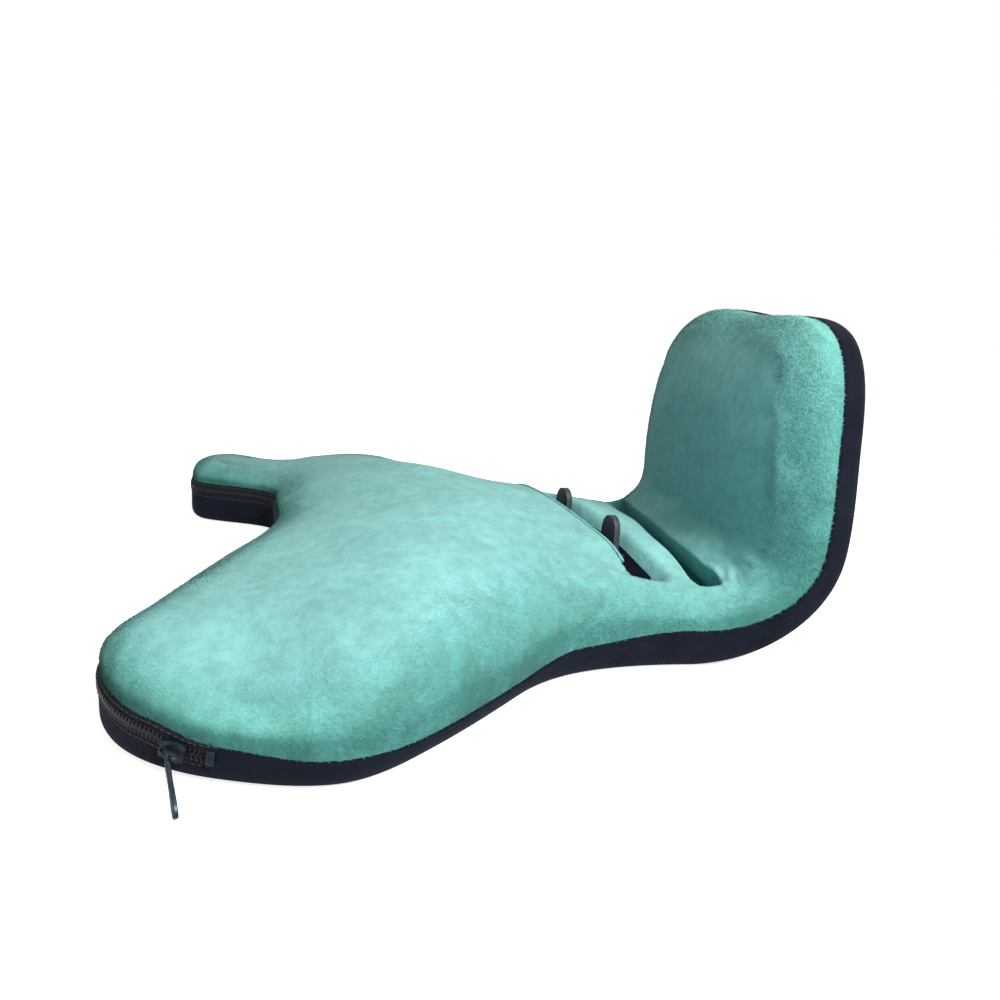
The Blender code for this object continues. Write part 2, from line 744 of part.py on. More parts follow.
def add_comb(floor_point):
    """A strip on the slot's floor with rounded fingers that stand up behind the tablet's edge."""
    slant = math.atan(SLOT_SLANT)
    length = FINGER_PITCH * (FINGER_COUNT - 1) + FINGER_WIDTH + 0.012
    half = length / 2
    strip = [(-half, -COMB_DEPTH / 2), (half, -COMB_DEPTH / 2), (half, COMB_DEPTH / 2), (-half, COMB_DEPTH / 2)]
    comb = add_object("slot_comb", *prism(strip, 0.0, COMB_STRIP), RUBBER)
    for k in range(FINGER_COUNT):
        middle = (k - (FINGER_COUNT - 1) / 2) * FINGER_PITCH
        wide = FINGER_WIDTH / 2
        outline = [(middle - wide, 0.0004), (middle + wide, 0.0004)]
        for m in range(7):
            angle = math.pi * m / 6
            outline.append((middle + wide * 0.92 * math.cos(angle),
                            FINGER_HEIGHT - wide + wide * math.sin(angle)))
        verts, faces = prism(outline, 0.0, FINGER_THICK)
        verts = [Vector((x, COMB_DEPTH / 2 - 0.0004 - z, y)) for x, y, z in verts]
        finger = add_object("finger", verts, faces, RUBBER)
        bpy.context.view_layer.update()
        boolean(comb, finger, "UNION")
    comb.location = floor_point
    comb.rotation_euler = (0.0, 0.0, slant)
    return comb


def tidy(obj):
    """Weld, and make every face look outward."""
    work = bmesh.new()
    work.from_mesh(obj.data)
    bmesh.ops.remove_doubles(work, verts=work.verts, dist=0.00001)
    bmesh.ops.dissolve_degenerate(work, edges=work.edges, dist=0.00001)
    bmesh.ops.recalc_face_normals(work, faces=work.faces)
    if work.calc_volume(signed=True) < 0:
        bmesh.ops.reverse_faces(work, faces=work.faces)
    bmesh.ops.triangulate(work, faces=[f for f in work.faces if len(f.verts) > 4])
    work.to_mesh(obj.data)
    work.free()
    obj.data.update()


def centre_on_origin(objects):
    """Move all top-level objects so that the footprint's centre is at the origin, on the floor."""
    bpy.context.view_layer.update()
    corners = [obj.matrix_world @ v.co for obj in objects for v in obj.data.vertices]
    low = Vector([min(c[i] for c in corners) for i in range(3)])
    high = Vector([max(c[i] for c in corners) for i in range(3)])
    shift = Vector(((low.x + high.x) / 2, (low.y + high.y) / 2, low.z))
    for obj in objects:
        if obj.parent is None:
            obj.location -= shift
    bpy.context.view_layer.update()
    return shift, high - low


def build():
    clear_scene()
    env, levels = build_envelope()
    shifts = inward_shifts(env)
    add_core(env, shifts)
    add_cover(env, shifts, "plush_cover", PLUSH)
    add_cover(env, shifts, "side_band", KNIT)
    add_cover(env, shifts, "base_panel", KNIT)
    add_cover(env, shifts, "back_panel", KNIT)
    add_cover(env, shifts, "slot_lining", KNIT)
    add_cover(env, shifts, "pocket_lining", LINING)
    add_cover(env, shifts, "zipper_tape_upper", TAPE)
    add_cover(env, shifts, "zipper_tape_lower", TAPE)

    path = zip_path(levels, env)
    length = path_length(path)
    slider_at = length - SLIDER_FROM_END
    add_coil("zipper_coil_upper", path, 1, 0.0060, length - 0.0050)
    add_coil("zipper_coil_lower", path, -1, 0.0060, length - 0.0050)
    add_stop("zipper_stop_far", path, 0.0035)
    add_stop("zipper_stop_near", path, length - 0.0025)
    matrix, rise = add_slider(path, slider_at)
    pull = add_pull(matrix, rise)

    lip, foot, floor_end, _ = slot_rows(0.0)
    middle = (foot + floor_end) / 2
    bed = max(p.z for p, (x, s, h) in zip(env.points, env.flat)
              if abs(x) < SLOT_HALF_LENGTH * 0.75 and abs(s - middle - SLOT_SLANT * x) < SLOT_FLOOR * 0.57
              and SLOT_DEPTH < h < from_table(CROWN_HEIGHT, s) - SLOT_DEPTH / 2)
    add_comb(Vector((0.0, middle, bed + GAP)))

    parts = list(collection(COLLECTION).objects)
    for obj in parts:
        tidy(obj)
    shift, size = centre_on_origin(parts)
    print("shift", [round(v, 5) for v in shift], "size", [round(v, 5) for v in size])
    print("pull pivot", [round(v, 5) for v in pull.matrix_world.translation],
          "axis", [round(v, 5) for v in pull.matrix_world.to_3x3().col[0]])
    total = 0
    for obj in parts:
        obj.data.calc_loop_triangles()
        count = len(obj.data.loop_triangles)
        total += count
        print(f"{obj.name:22s} {count}")
    print("total", total, "outline points", len(EDGE))


build()
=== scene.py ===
"""Looks of the tablet cushion stand: plush and knit covers over foam, a coil zipper, slot and pocket."""

import math

import bmesh
import bpy
import numpy as np
from mathutils import Matrix, Vector
from mathutils.geometry import delaunay_2d_cdt


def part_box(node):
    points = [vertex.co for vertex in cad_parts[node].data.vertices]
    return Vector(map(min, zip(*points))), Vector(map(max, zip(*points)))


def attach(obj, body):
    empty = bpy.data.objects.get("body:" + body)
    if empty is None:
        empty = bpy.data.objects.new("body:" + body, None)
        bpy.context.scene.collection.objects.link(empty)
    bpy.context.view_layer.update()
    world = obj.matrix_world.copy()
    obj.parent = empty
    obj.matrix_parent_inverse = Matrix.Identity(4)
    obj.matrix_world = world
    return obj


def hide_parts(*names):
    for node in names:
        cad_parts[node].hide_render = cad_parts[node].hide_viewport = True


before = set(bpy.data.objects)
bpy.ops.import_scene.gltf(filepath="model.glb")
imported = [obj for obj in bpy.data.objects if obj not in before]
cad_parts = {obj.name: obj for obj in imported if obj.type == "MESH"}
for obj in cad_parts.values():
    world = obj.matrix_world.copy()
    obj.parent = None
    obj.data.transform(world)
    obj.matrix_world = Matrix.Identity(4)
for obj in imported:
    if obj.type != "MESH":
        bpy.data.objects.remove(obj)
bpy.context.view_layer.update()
scene = bpy.context.scene

# The pad's form, as the frame has it, in metres

BEND_START = 0.030
BEND_RADIUS = 0.074
BEND_ANGLE = math.radians(87.0)
FOOT_RADIUS = 0.0070
CROWN_REACH = 0.060
CROWN_POWER = 2.3
CROWN_RINGS = (0.0007, 0.0018, 0.0035, 0.0060, 0.0090, 0.0125, 0.0162)
CROWN_HEIGHT = (            # s, full height of the pad there
    (-0.262, 0.048), (-0.200, 0.044), (-0.110, 0.068), (-0.030, 0.0615),
    (0.040, 0.049), (0.110, 0.041), (0.200, 0.050), (0.258, 0.047),
)
SIDE_SEAM = 0.0155          # height of the plush seam round most of the pad
ZIP_SEAM = 0.0290           # above the zipper
TURN_SEAM = 0.0220          # where the pad turns up
WAIST_SEAM = 0.0100         # where the plush hangs over the band
OUTLINE = (                 # x, s, heading in degrees, height of the plush seam
    (0.0000, 0.2575, 180, SIDE_SEAM),
    (-0.0780, 0.2470, 215, SIDE_SEAM),
    (-0.1020, 0.1900, 264, SIDE_SEAM),
    (-0.1070, 0.1500, 271, SIDE_SEAM),
    (-0.0930, 0.0300, 271, TURN_SEAM),
    (-0.1000, -0.0315, 250, 0.0165),
    (-0.1255, -0.0800, 232, WAIST_SEAM),
    (-0.1820, -0.1320, 230, 0.0120),
    (-0.2015, -0.1895, 266, 0.0170),
    (-0.1960, -0.2380, 296, ZIP_SEAM),
    (-0.1750, -0.2560, 359, ZIP_SEAM),
    (-0.1440, -0.2475, 421, ZIP_SEAM),
    (-0.1300, -0.2080, 425, ZIP_SEAM),
    (-0.1090, -0.1945, 356, ZIP_SEAM),
    (-0.0445, -0.1930, 349, ZIP_SEAM),
    (0.0240, -0.2200, 338, ZIP_SEAM),
    (0.0925, -0.2460, 340, ZIP_SEAM),
    (0.1265, -0.2575, 364, 0.0270),
    (0.1660, -0.2345, 413, 0.0228),
    (0.1803, -0.2055, 433, 0.0165),
    (0.1876, -0.1630, 453, 0.0130),
    (0.1650, -0.1190, 488, WAIST_SEAM),
    (0.1235, -0.0715, 493, WAIST_SEAM),
    (0.1015, -0.0330, 466, 0.0165),
    (0.0950, 0.0270, 449, TURN_SEAM),
    (0.1095, 0.1445, 453, SIDE_SEAM),
    (0.1005, 0.1915, 464, SIDE_SEAM),
    (0.0745, 0.2505, 500, SIDE_SEAM),
)
OUTLINE_STEP = 0.0050
OUTLINE_TURN = 6.0
ZIP_FIRST_NODE = 8
ZIP_LAST_NODE = 19
TAPE_UPPER = 0.0052
TAPE_LOWER = 0.0053
SLOT_HALF_LENGTH = 0.066
SLOT_LIP = -0.019
SLOT_SLANT = 0.20
SLOT_WALL = 0.0020
SLOT_FLOOR = 0.0145
SLOT_BACK = 0.0130
SLOT_DEPTH = 0.0170
SLOT_FADE = 0.0120
POCKET_HALF_LENGTH = 0.070
POCKET_MIDDLE = 0.058
POCKET_HALF_WIDTH = 0.0200
POCKET_DEPTH = 0.0220
POCKET_FADE = 0.0110
TOP_STEP = 0.0052
PAD_REACH = 0.256           # half length of the field of points over the top
SLOT_COLUMN = 0.0052        # spacing of the columns of points over the slot and the pocket
SLOT_COLUMNS = 15           # columns to each side
LINING_COLUMNS = 12         # columns to each side that the slot's lining reaches
COLUMN_MARGIN = 0.0015      # gap from the crown's last ring to the columns' points
FIELD_MARGIN = 0.0028       # and to the rest of the top's points
COLUMN_GAP = 0.0030         # gap from the columns' ends to the rest of the top's points
TOP_SEAM = 0.020            # seam height that the top's first shape is drawn from
GATHER_PLACE = (0.082, 0.066)       # plan place of the gathers at the pocket's near end
DENT_PLACE = (0.076, -0.004)        # plan place of the dent beside the slot
CLOTH_LIMIT = 0.0040        # the air pressure moves the cover by no more than this
CLOTH_FRAMES = 20
SEAM_NAP_REACH = 0.021      # distance from the seam over which the nap changes
BASE_STEP = 0.0120
BASE_GAP = 0.0060           # gap from the base's rim and its fold to its other points
FOLD_STEP = 0.0112          # spacing of the points on the fold between base and back
ZIP_BLEND = 0.0035          # rise of the seam over which the side's rows turn into the tapes'
SEAM_PINCH = 0.0013         # how far the thread draws a seam in
PINCH_FADE = 0.0022         # the plush beside it follows, less and less over this distance
SKIN = 0.0012               # thickness of the covers that are seen

# Small helpers


def lerp(a, b, t):
    return a + (b - a) * t


def smooth(t):
    t = np.clip(t, 0.0, 1.0)
    return t * t * (3 - 2 * t)


def from_table(table, s):
    """Smoothly joined values of a short table, for an array of places."""
    s = np.asarray(s, float)
    out = np.full(s.shape, table[0][1])
    for (s0, v0), (s1, v1) in zip(table, table[1:]):
        out = np.where(s > s0, lerp(v0, v1, smooth((s - s0) / (s1 - s0))), out)
    return out


def linear(code):
    """An sRGB hex value as linear colour."""
    channels = [int(code[i:i + 2], 16) / 255 for i in (0, 2, 4)]
    return [c / 12.92 if c <= 0.04045 else ((c + 0.055) / 1.055) ** 2.4 for c in channels] + [1.0]


def new_object(name, verts, faces):
    mesh = bpy.data.meshes.new(name)
    mesh.from_pydata([tuple(v) for v in verts], [], [tuple(int(i) for i in f) for f in faces])
    mesh.update()
    obj = bpy.data.objects.new(name, mesh)
    scene.collection.objects.link(obj)
    return obj


def bake(obj, name=None):
    """Turn an object and its modifiers into a plain mesh in its own place."""
    deps = bpy.context.evaluated_depsgraph_get()
    mesh = bpy.data.meshes.new_from_object(obj.evaluated_get(deps), depsgraph=deps)
    mesh.transform(obj.matrix_world)
    made = bpy.data.objects.new("baked", mesh)
    scene.collection.objects.link(made)
    label = name or obj.name
    bpy.data.objects.remove(obj, do_unlink=True)
    made.name = mesh.name = label
    return made


def shade_smooth(obj, angle=None):
    flags = np.ones(len(obj.data.polygons), bool)
    obj.data.polygons.foreach_set("use_smooth", flags)
    if angle is not None:
        obj.data.set_sharp_from_angle(angle=math.radians(angle))
    obj.data.update()


# Materials


def put(tree, node, values):
    """Fill a node's inputs: a value that is an output socket is linked, any other is set."""
    for key, value in values.items():
        socket = node.inputs[key]
        if isinstance(value, bpy.types.NodeSocket):
            tree.links.new(value, socket)
        else:
            socket.default_value = value
    return node


def add(tree, kind, values=None, stops=(), **settings):
    """Add a node with its settings, its inputs and, for a colour ramp, its hex stops."""
    made = tree.nodes.new(kind)
    for key, value in settings.items():
        setattr(made, key, value)
    if stops:
        elements = made.color_ramp.elements
        while len(elements) < len(stops):
            elements.new(0.5)
        for element, (position, colour) in zip(elements, stops):
            element.position = position
            element.color = linear(colour)
    return put(tree, made, values or {})


def start(name):
    """A new material, its node tree, its shader and its Object coordinates."""
    mat = bpy.data.materials.new(name)
    mat.use_nodes = True
    tree = mat.node_tree
    place = add(tree, "ShaderNodeTexCoord").outputs["Object"]
    return mat, tree, tree.nodes["Principled BSDF"], place


def nap_colour(tree, place, direction):
    """Colour of the plush, with painted light in it: paler on the tops and deeper on the flanks as the light
    falls, darker toward the far lobe; deeper by the seams; and its streaks.
    """
    up = add(tree, "ShaderNodeSeparateXYZ", {"Vector": direction}).outputs["Z"]
    # Painted light: the colour turns paler where the surface faces up and deeper where it faces aside, as the
    # light falls
    open_nap_top_lit = add(tree, "ShaderNodeValToRGB", {"Fac": up}, stops=(
        (0.08, "5B9FA0"), (0.40, "74B6B3"), (0.85, "7EBDBA"), (1.0, "8AC5C1"))).outputs["Color"]
    seam_nap_top_lit = add(tree, "ShaderNodeValToRGB", {"Fac": up}, stops=(
        (0.08, "479180"), (0.60, "5FAF9D"), (1.0, "78C3B2"))).outputs["Color"]
    near = add(tree, "ShaderNodeAttribute", attribute_name="share").outputs["Fac"]
    near = add(tree, "ShaderNodeMath", {0: near, 1: 3.2}, operation="POWER").outputs[0]
    mixed = add(tree, "ShaderNodeMath", {0: near, 1: 0.50}, operation="MULTIPLY").outputs[0]
    tone = add(tree, "ShaderNodeMix", {0: mixed, 6: open_nap_top_lit, 7: seam_nap_top_lit}, data_type="RGBA").outputs[2]

    # Cloudy patches of about 60 mm, and fine streaks of the pile
    patches = add(tree, "ShaderNodeTexNoise", {
        "Vector": place, "Scale": 16.0, "Detail": 3.0, "Roughness": 0.55}).outputs["Fac"]
    streaks = add(tree, "ShaderNodeTexNoise", {
        "Vector": place, "Scale": 150.0, "Detail": 3.0, "Roughness": 0.6}).outputs["Fac"]
    both = add(tree, "ShaderNodeMath", {0: patches, 1: streaks}, operation="ADD").outputs[0]
    gain = add(tree, "ShaderNodeMapRange", {
        "Value": both, "From Min": 0.75, "From Max": 1.25, "To Min": 0.82, "To Max": 1.14}).outputs[0]

    # Painted shade: the colour darkens toward the far lobe, where the light falls off
    across = add(tree, "ShaderNodeSeparateXYZ", {"Vector": place}).outputs["X"]
    far_lobe_shade = add(tree, "ShaderNodeMapRange", {
        "Value": across, "From Min": -0.19, "From Max": 0.0, "To Min": 0.74, "To Max": 1.0},
        interpolation_type="SMOOTHSTEP").outputs[0]
    gain = add(tree, "ShaderNodeMath", {0: gain, 1: far_lobe_shade}, operation="MULTIPLY").outputs[0]

    # Strokes of a hand through the pile, stronger by the seams
    strokes = add(tree, "ShaderNodeTexNoise", {
        "Vector": place, "Scale": 17.0, "Detail": 2.0, "Distortion": 0.7}).outputs["Fac"]
    laid = add(tree, "ShaderNodeMapRange", {"Value": strokes, "From Min": 0.53, "From Max": 0.64},
               interpolation_type="SMOOTHSTEP").outputs[0]
    depth = add(tree, "ShaderNodeMapRange", {"Value": near, "To Min": -0.08, "To Max": -0.20}).outputs[0]
    shade = add(tree, "ShaderNodeMath", {0: laid, 1: depth, 2: 1.0}, operation="MULTIPLY_ADD").outputs[0]
    gain = add(tree, "ShaderNodeMath", {0: gain, 1: shade}, operation="MULTIPLY").outputs[0]
    colour = add(tree, "ShaderNodeVectorMath", {0: tone, "Scale": gain}, operation="SCALE").outputs["Vector"]
    return colour, streaks


def plush_material():
    """Short-pile velboa plush with a raised nap: soft nap patches, painted light and shade in its colour, and
    a fine uneven pile that scatters light.
    """
    mat, tree, shader, place = start("velboa_plush_mint")
    colour, streaks = nap_colour(tree, place, tree.nodes["Texture Coordinate"].outputs["Normal"])
    pile = add(tree, "ShaderNodeTexNoise", {
        "Vector": place, "Scale": 900.0, "Detail": 2.0, "Roughness": 0.6})
    high = add(tree, "ShaderNodeBump", {"Height": pile.outputs["Fac"], "Strength": 0.4, "Distance": 0.0008})
    low = add(tree, "ShaderNodeBump", {
        "Height": streaks, "Strength": 0.3, "Distance": 0.0018, "Normal": high.outputs[0]})
    put(tree, shader, {
        "Base Color": colour, "Roughness": 0.72, "Specular IOR Level": 0.34, "Sheen Weight": 0.12,
        "Sheen Roughness": 0.5, "Sheen Tint": linear("C8FFF6"), "Normal": low.outputs[0]})
    return mat


def fibre_material():
    """Polyester pile ends, coloured as the plush with its painted light and shade; they shade much as the
    skin below, so they look soft.
    """
    mat, tree, shader, place = start("polyester_pile_mint")
    under = add(tree, "ShaderNodeAttribute", attribute_name="skin_normal").outputs["Vector"]
    colour, _ = nap_colour(tree, place, under)
    own = add(tree, "ShaderNodeNewGeometry").outputs["Normal"]
    soft = add(tree, "ShaderNodeMix", {0: 0.72, 4: own, 5: under}, data_type="VECTOR").outputs[1]
    soft = add(tree, "ShaderNodeVectorMath", {0: soft}, operation="NORMALIZE").outputs["Vector"]
    put(tree, shader, {
        "Base Color": colour, "Roughness": 0.75, "Specular IOR Level": 0.2, "Sheen Weight": 0.1,
        "Normal": soft})
    return mat


def knit_material(name="polyester_stretch_knit", dark="090D16", light="121725", course=0.0011):
    """Fine jersey knit, dyed black with a blue cast: small courses, drawn coarser than life to show."""
    mat, tree, shader, place = start(name)
    weave = add(tree, "ShaderNodeTexVoronoi", {"Vector": place, "Scale": 1.0 / course}, feature="F1")
    fluff = add(tree, "ShaderNodeTexNoise", {
        "Vector": place, "Scale": 60.0, "Detail": 5.0, "Roughness": 0.6})
    bump = add(tree, "ShaderNodeBump", {
        "Height": weave.outputs["Distance"], "Strength": 0.5, "Distance": 0.0004})
    tone = add(tree, "ShaderNodeValToRGB", {"Fac": fluff.outputs["Fac"]}, stops=((0.3, dark), (0.72, light)))
    put(tree, shader, {
        "Base Color": tone.outputs["Color"], "Roughness": 0.88,
        "Specular IOR Level": 0.12, "Sheen Weight": 0.07, "Sheen Roughness": 0.5,
        "Sheen Tint": linear("9FB0C4"), "Normal": bump.outputs[0]})
    return mat


def lining_material():
    """Brushed tricot lining in the plush's teal, darkened as painted shade for the inside of the pocket,
    where it is seen only in shade.
    """
    return knit_material("brushed_tricot_lining", "234F4B", "3E7C75", 0.0009)


def tape_material():
    """Woven polyester zipper tape: a fine herringbone that reads as soft ribs."""
    mat, tree, shader, place = start("woven_zipper_tape")
    ribs = add(tree, "ShaderNodeTexWave", {"Vector": place, "Scale": 190.0, "Distortion": 0.6},
               wave_type="BANDS", bands_direction="Z").outputs["Fac"]
    bump = add(tree, "ShaderNodeBump", {"Height": ribs, "Strength": 0.4, "Distance": 0.0003})
    tone = add(tree, "ShaderNodeValToRGB", {"Fac": ribs}, stops=((0.2, "0B0D12"), (0.8, "171A22")))
    put(tree, shader, {
        "Base Color": tone.outputs["Color"], "Roughness": 0.8,
        "Specular IOR Level": 0.2, "Normal": bump.outputs[0]})
    return mat


def coil_material():
    """Nylon monofilament, drawn and heat-set: smooth, black, with small soft glints."""
    mat, tree, shader, place = start("nylon_monofilament_coil")
    fine = add(tree, "ShaderNodeTexNoise", {"Vector": place, "Scale": 700.0, "Detail": 2.0}).outputs["Fac"]
    tone = add(tree, "ShaderNodeValToRGB", {"Fac": fine}, stops=((0.3, "0A0C10"), (0.7, "13171D")))
    put(tree, shader, {
        "Base Color": tone.outputs["Color"],
        "Roughness": 0.34, "IOR": 1.53, "Specular IOR Level": 0.3})
    return mat


def enamel_material():
    """Zinc alloy, die-cast and coated in gunmetal: blue-grey, its gloss a little uneven from handling."""
    mat, tree, shader, place = start("die_cast_zinc_gunmetal")
    wear = add(tree, "ShaderNodeTexNoise", {"Vector": place, "Scale": 900.0, "Detail": 4.0}).outputs["Fac"]
    rough = add(tree, "ShaderNodeMapRange", {"Value": wear, "To Min": 0.26, "To Max": 0.44})
    tone = add(tree, "ShaderNodeValToRGB", {"Fac": wear}, stops=((0.35, "29323C"), (0.7, "343E49")))
    put(tree, shader, {
        "Base Color": tone.outputs["Color"], "Metallic": 0.9,
        "Roughness": rough.outputs[0]})
    return mat


def rubber_material():
    """Moulded soft PVC, matte, with a faint grain from the tool."""
    mat, tree, shader, place = start("moulded_soft_pvc")
    grain = add(tree, "ShaderNodeTexNoise", {"Vector": place, "Scale": 500.0, "Detail": 3.0}).outputs["Fac"]
    bump = add(tree, "ShaderNodeBump", {"Height": grain, "Strength": 0.2, "Distance": 0.0003})
    tone = add(tree, "ShaderNodeValToRGB", {"Fac": grain}, stops=((0.3, "1F242B"), (0.7, "343B44")))
    put(tree, shader, {
        "Base Color": tone.outputs["Color"], "Roughness": 0.55,
        "Normal": bump.outputs[0]})
    return mat


def thread_material():
    """Spun polyester thread, black, slightly glossier than the tape it holds."""
    mat, tree, shader, place = start("spun_polyester_thread")
    twist = add(tree, "ShaderNodeTexNoise", {"Vector": place, "Scale": 1500.0, "Detail": 1.0})
    tone = add(tree, "ShaderNodeValToRGB", {"Fac": twist.outputs[0]}, stops=((0.3, "1A1E26"), (0.7, "2E343F")))
    put(tree, shader, {
        "Base Color": tone.outputs["Color"], "Roughness": 0.6})
    return mat


def foam_material():
    """Open-cell polyurethane foam, hidden by the covers."""
    mat, tree, shader, place = start("open_cell_pu_foam")
    cells = add(tree, "ShaderNodeTexVoronoi", {"Vector": place, "Scale": 600.0}).outputs["Distance"]
    bump = add(tree, "ShaderNodeBump", {"Height": cells, "Strength": 0.6, "Distance": 0.0006})
    tone = add(tree, "ShaderNodeValToRGB", {"Fac": cells}, stops=((0.0, "CFC6A8"), (0.6, "EFE8D2")))
    put(tree, shader, {
        "Base Color": tone.outputs["Color"], "Roughness": 0.95,
        "Normal": bump.outputs[0]})
    return mat


PLUSH = plush_material()
FIBRE = fibre_material()
KNIT = knit_material()
LINING = lining_material()
TAPE = tape_material()
COIL = coil_material()
METAL = enamel_material()
RUBBER = rubber_material()
FOAM = foam_material()
THREAD = thread_material()

# The pad's surface


def outline_points():
    """Corners of the outline: places, seam heights, node numbers and inward directions."""
    places, seams, nodes = [], [], []
    for index, (x0, s0, heading0, seam0) in enumerate(OUTLINE):
        x1, s1, heading1, seam1 = OUTLINE[(index + 1) % len(OUTLINE)]
        a, b = np.array((x0, s0)), np.array((x1, s1))
        turn = math.radians((heading1 - heading0 + 180) % 360 - 180)
        chord = float(np.linalg.norm(b - a))
        reach = chord / math.cos(turn / 4) ** 2
        ta = np.array((math.cos(math.radians(heading0)), math.sin(math.radians(heading0)))) * reach
        tb = np.array((math.cos(math.radians(heading1)), math.sin(math.radians(heading1)))) * reach
        count = max(1, round(max(chord / OUTLINE_STEP, abs(math.degrees(turn)) / OUTLINE_TURN)))
        for step in range(count):
            t = step / count
            places.append((2 * t ** 3 - 3 * t ** 2 + 1) * a + (t ** 3 - 2 * t ** 2 + t) * ta
                          + (3 * t ** 2 - 2 * t ** 3) * b + (t ** 3 - t ** 2) * tb)
            seams.append(float(lerp(seam0, seam1, smooth(t))))
            nodes.append(index + t)
    places = np.array(places)
    along = np.roll(places, -1, 0) - places
    along /= np.linalg.norm(along, axis=1)[:, None]
    along = along + np.roll(along, 1, 0)
    along /= np.linalg.norm(along, axis=1)[:, None]
    inward = np.stack((-along[:, 1], along[:, 0]), 1)
    return places, np.array(seams), np.array(nodes), inward


EDGE, SEAM, NODE, INWARD = outline_points()


def edge_distance(points):
    """Distance of each point to the outline, and whether it lies inside."""
    points = np.asarray(points, float)
    best = np.full(len(points), 9.0)
    crossings = np.zeros(len(points), int)
    for a, b in zip(np.roll(EDGE, 1, 0), EDGE):
        span = b - a
        t = np.clip(((points - a) @ span) / (span @ span), 0, 1)
        best = np.minimum(best, np.linalg.norm(points - a - t[:, None] * span, axis=1))
        if a[1] != b[1]:
            crosses = (a[1] > points[:, 1]) != (b[1] > points[:, 1])
            at = (b[0] - a[0]) * (points[:, 1] - a[1]) / (b[1] - a[1]) + a[0]
            crossings += crosses & (points[:, 0] < at)
    return best, crossings % 2 == 1


def bend(flat):
    """Take points (x, s, height) of the flat pad to the bent one."""
    x, s, h = np.asarray(flat, float).T
    angle = np.clip((s - BEND_START) / BEND_RADIUS, 0.0, BEND_ANGLE)
    beyond = np.maximum(s - BEND_START - BEND_RADIUS * BEND_ANGLE, 0.0)
    y = np.minimum(s, BEND_START) + BEND_RADIUS * np.sin(angle) + beyond * math.cos(BEND_ANGLE)
    z = BEND_RADIUS * (1 - np.cos(angle)) + beyond * math.sin(BEND_ANGLE)
    return np.stack((x, y - h * np.sin(angle), z + h * np.cos(angle)), 1)


def crown(distance, seam, full):
    """Height of the pad at a distance from its edge, from the seam's height to the full one."""
    u = 1 - np.clip(np.asarray(distance) / CROWN_REACH, 0.0, 1.0)
    return seam + (full - seam) * (1 - u ** CROWN_POWER) ** (1 / CROWN_POWER)


def slot_rows(x):
    """Where the slot's lip, foot, floor's end and rear edge lie at x."""
    lip = SLOT_LIP + SLOT_SLANT * x
    foot = lip + SLOT_WALL
    return lip, foot, foot + SLOT_FLOOR, foot + SLOT_FLOOR + SLOT_BACK


def slot_depth(x, s):
    """How deep the slot for the tablet's edge is sunk."""
    lip, _, floor_end, _ = slot_rows(x)
    ends = smooth((SLOT_HALF_LENGTH + SLOT_FADE - np.abs(x)) / SLOT_FADE)
    front = smooth((s - lip) / SLOT_WALL)
    rear = 1 - smooth((s - floor_end) / SLOT_BACK)
    return SLOT_DEPTH * ends * front * rear


def pocket_depth(x, s):
    """How deep the pocket at the foot of the backrest is sunk."""
    ends = smooth((POCKET_HALF_LENGTH + POCKET_FADE - np.abs(x)) / POCKET_FADE)
    across = np.abs(s - POCKET_MIDDLE) / POCKET_HALF_WIDTH
    return POCKET_DEPTH * ends * smooth((1.0 - across) / 0.55)


def relief(x, s):
    """Small folds and dents: uneven filling, gathers at the pocket's near end, a dent beside the slot."""
    soft = 0.0007 * np.sin(x * 71 + 1.3) * np.sin(s * 63 + 0.4) + 0.0005 * np.sin(x * 113 - s * 97)
    from_x, from_s = x - GATHER_PLACE[0], s - GATHER_PLACE[1]
    around = np.hypot(from_x, from_s)
    turn = np.arctan2(from_s, from_x)
    gathers = 0.0016 * np.cos(turn * 11) * np.exp(-((around - 0.016) / 0.009) ** 2)
    hollow = np.hypot((x - DENT_PLACE[0]) / 1.4, s - DENT_PLACE[1])
    dent = -0.0032 * np.exp(-(hollow / 0.0085) ** 2)
    return soft + gathers + dent


def staggered(step, rise, reach, count):
    """Rows of points over a field, every other row moved by half a step."""
    field = []
    for k, s in enumerate(np.arange(-reach, reach, rise)):
        x = np.arange(-count, count + 1) * step + (step / 2 if k % 2 else 0.0)
        field += [(v, s) for v in x]
    return np.array(field)


def top_points():
    """Points over the top, closer together at the slot and the pocket."""
    columns = np.arange(-SLOT_COLUMNS, SLOT_COLUMNS + 1) * SLOT_COLUMN
    fixed = []
    for x in columns:
        lip, foot, floor_end, back = slot_rows(x)
        rows = [lip - 0.0022, lip, lip + SLOT_WALL / 2, foot]
        rows += list(np.linspace(foot, floor_end, 5)[1:]) + list(np.linspace(floor_end, back, 5)[1:])
        fixed += [(x, s) for s in rows]
        fixed += [(x, s) for s in POCKET_MIDDLE + POCKET_HALF_WIDTH * np.linspace(-1, 1, 15)]
    fixed = np.array(fixed)
    distance, within = edge_distance(fixed)
    fixed = fixed[within & (distance > CROWN_RINGS[-1] + COLUMN_MARGIN)]
    field = staggered(TOP_STEP, TOP_STEP * 0.87, PAD_REACH, 42)
    distance, within = edge_distance(field)
    x, s = field.T
    lip, _, _, back = slot_rows(x)
    keep = within & (distance > CROWN_RINGS[-1] + FIELD_MARGIN)
    columned = np.abs(x) < SLOT_COLUMNS * SLOT_COLUMN + 0.0015
    keep &= ~(columned & (s > lip - 0.0055) & (s < back + COLUMN_GAP))
    keep &= ~(columned & (np.abs(s - POCKET_MIDDLE) < POCKET_HALF_WIDTH + COLUMN_GAP))
    return np.concatenate((fixed, field[keep]))


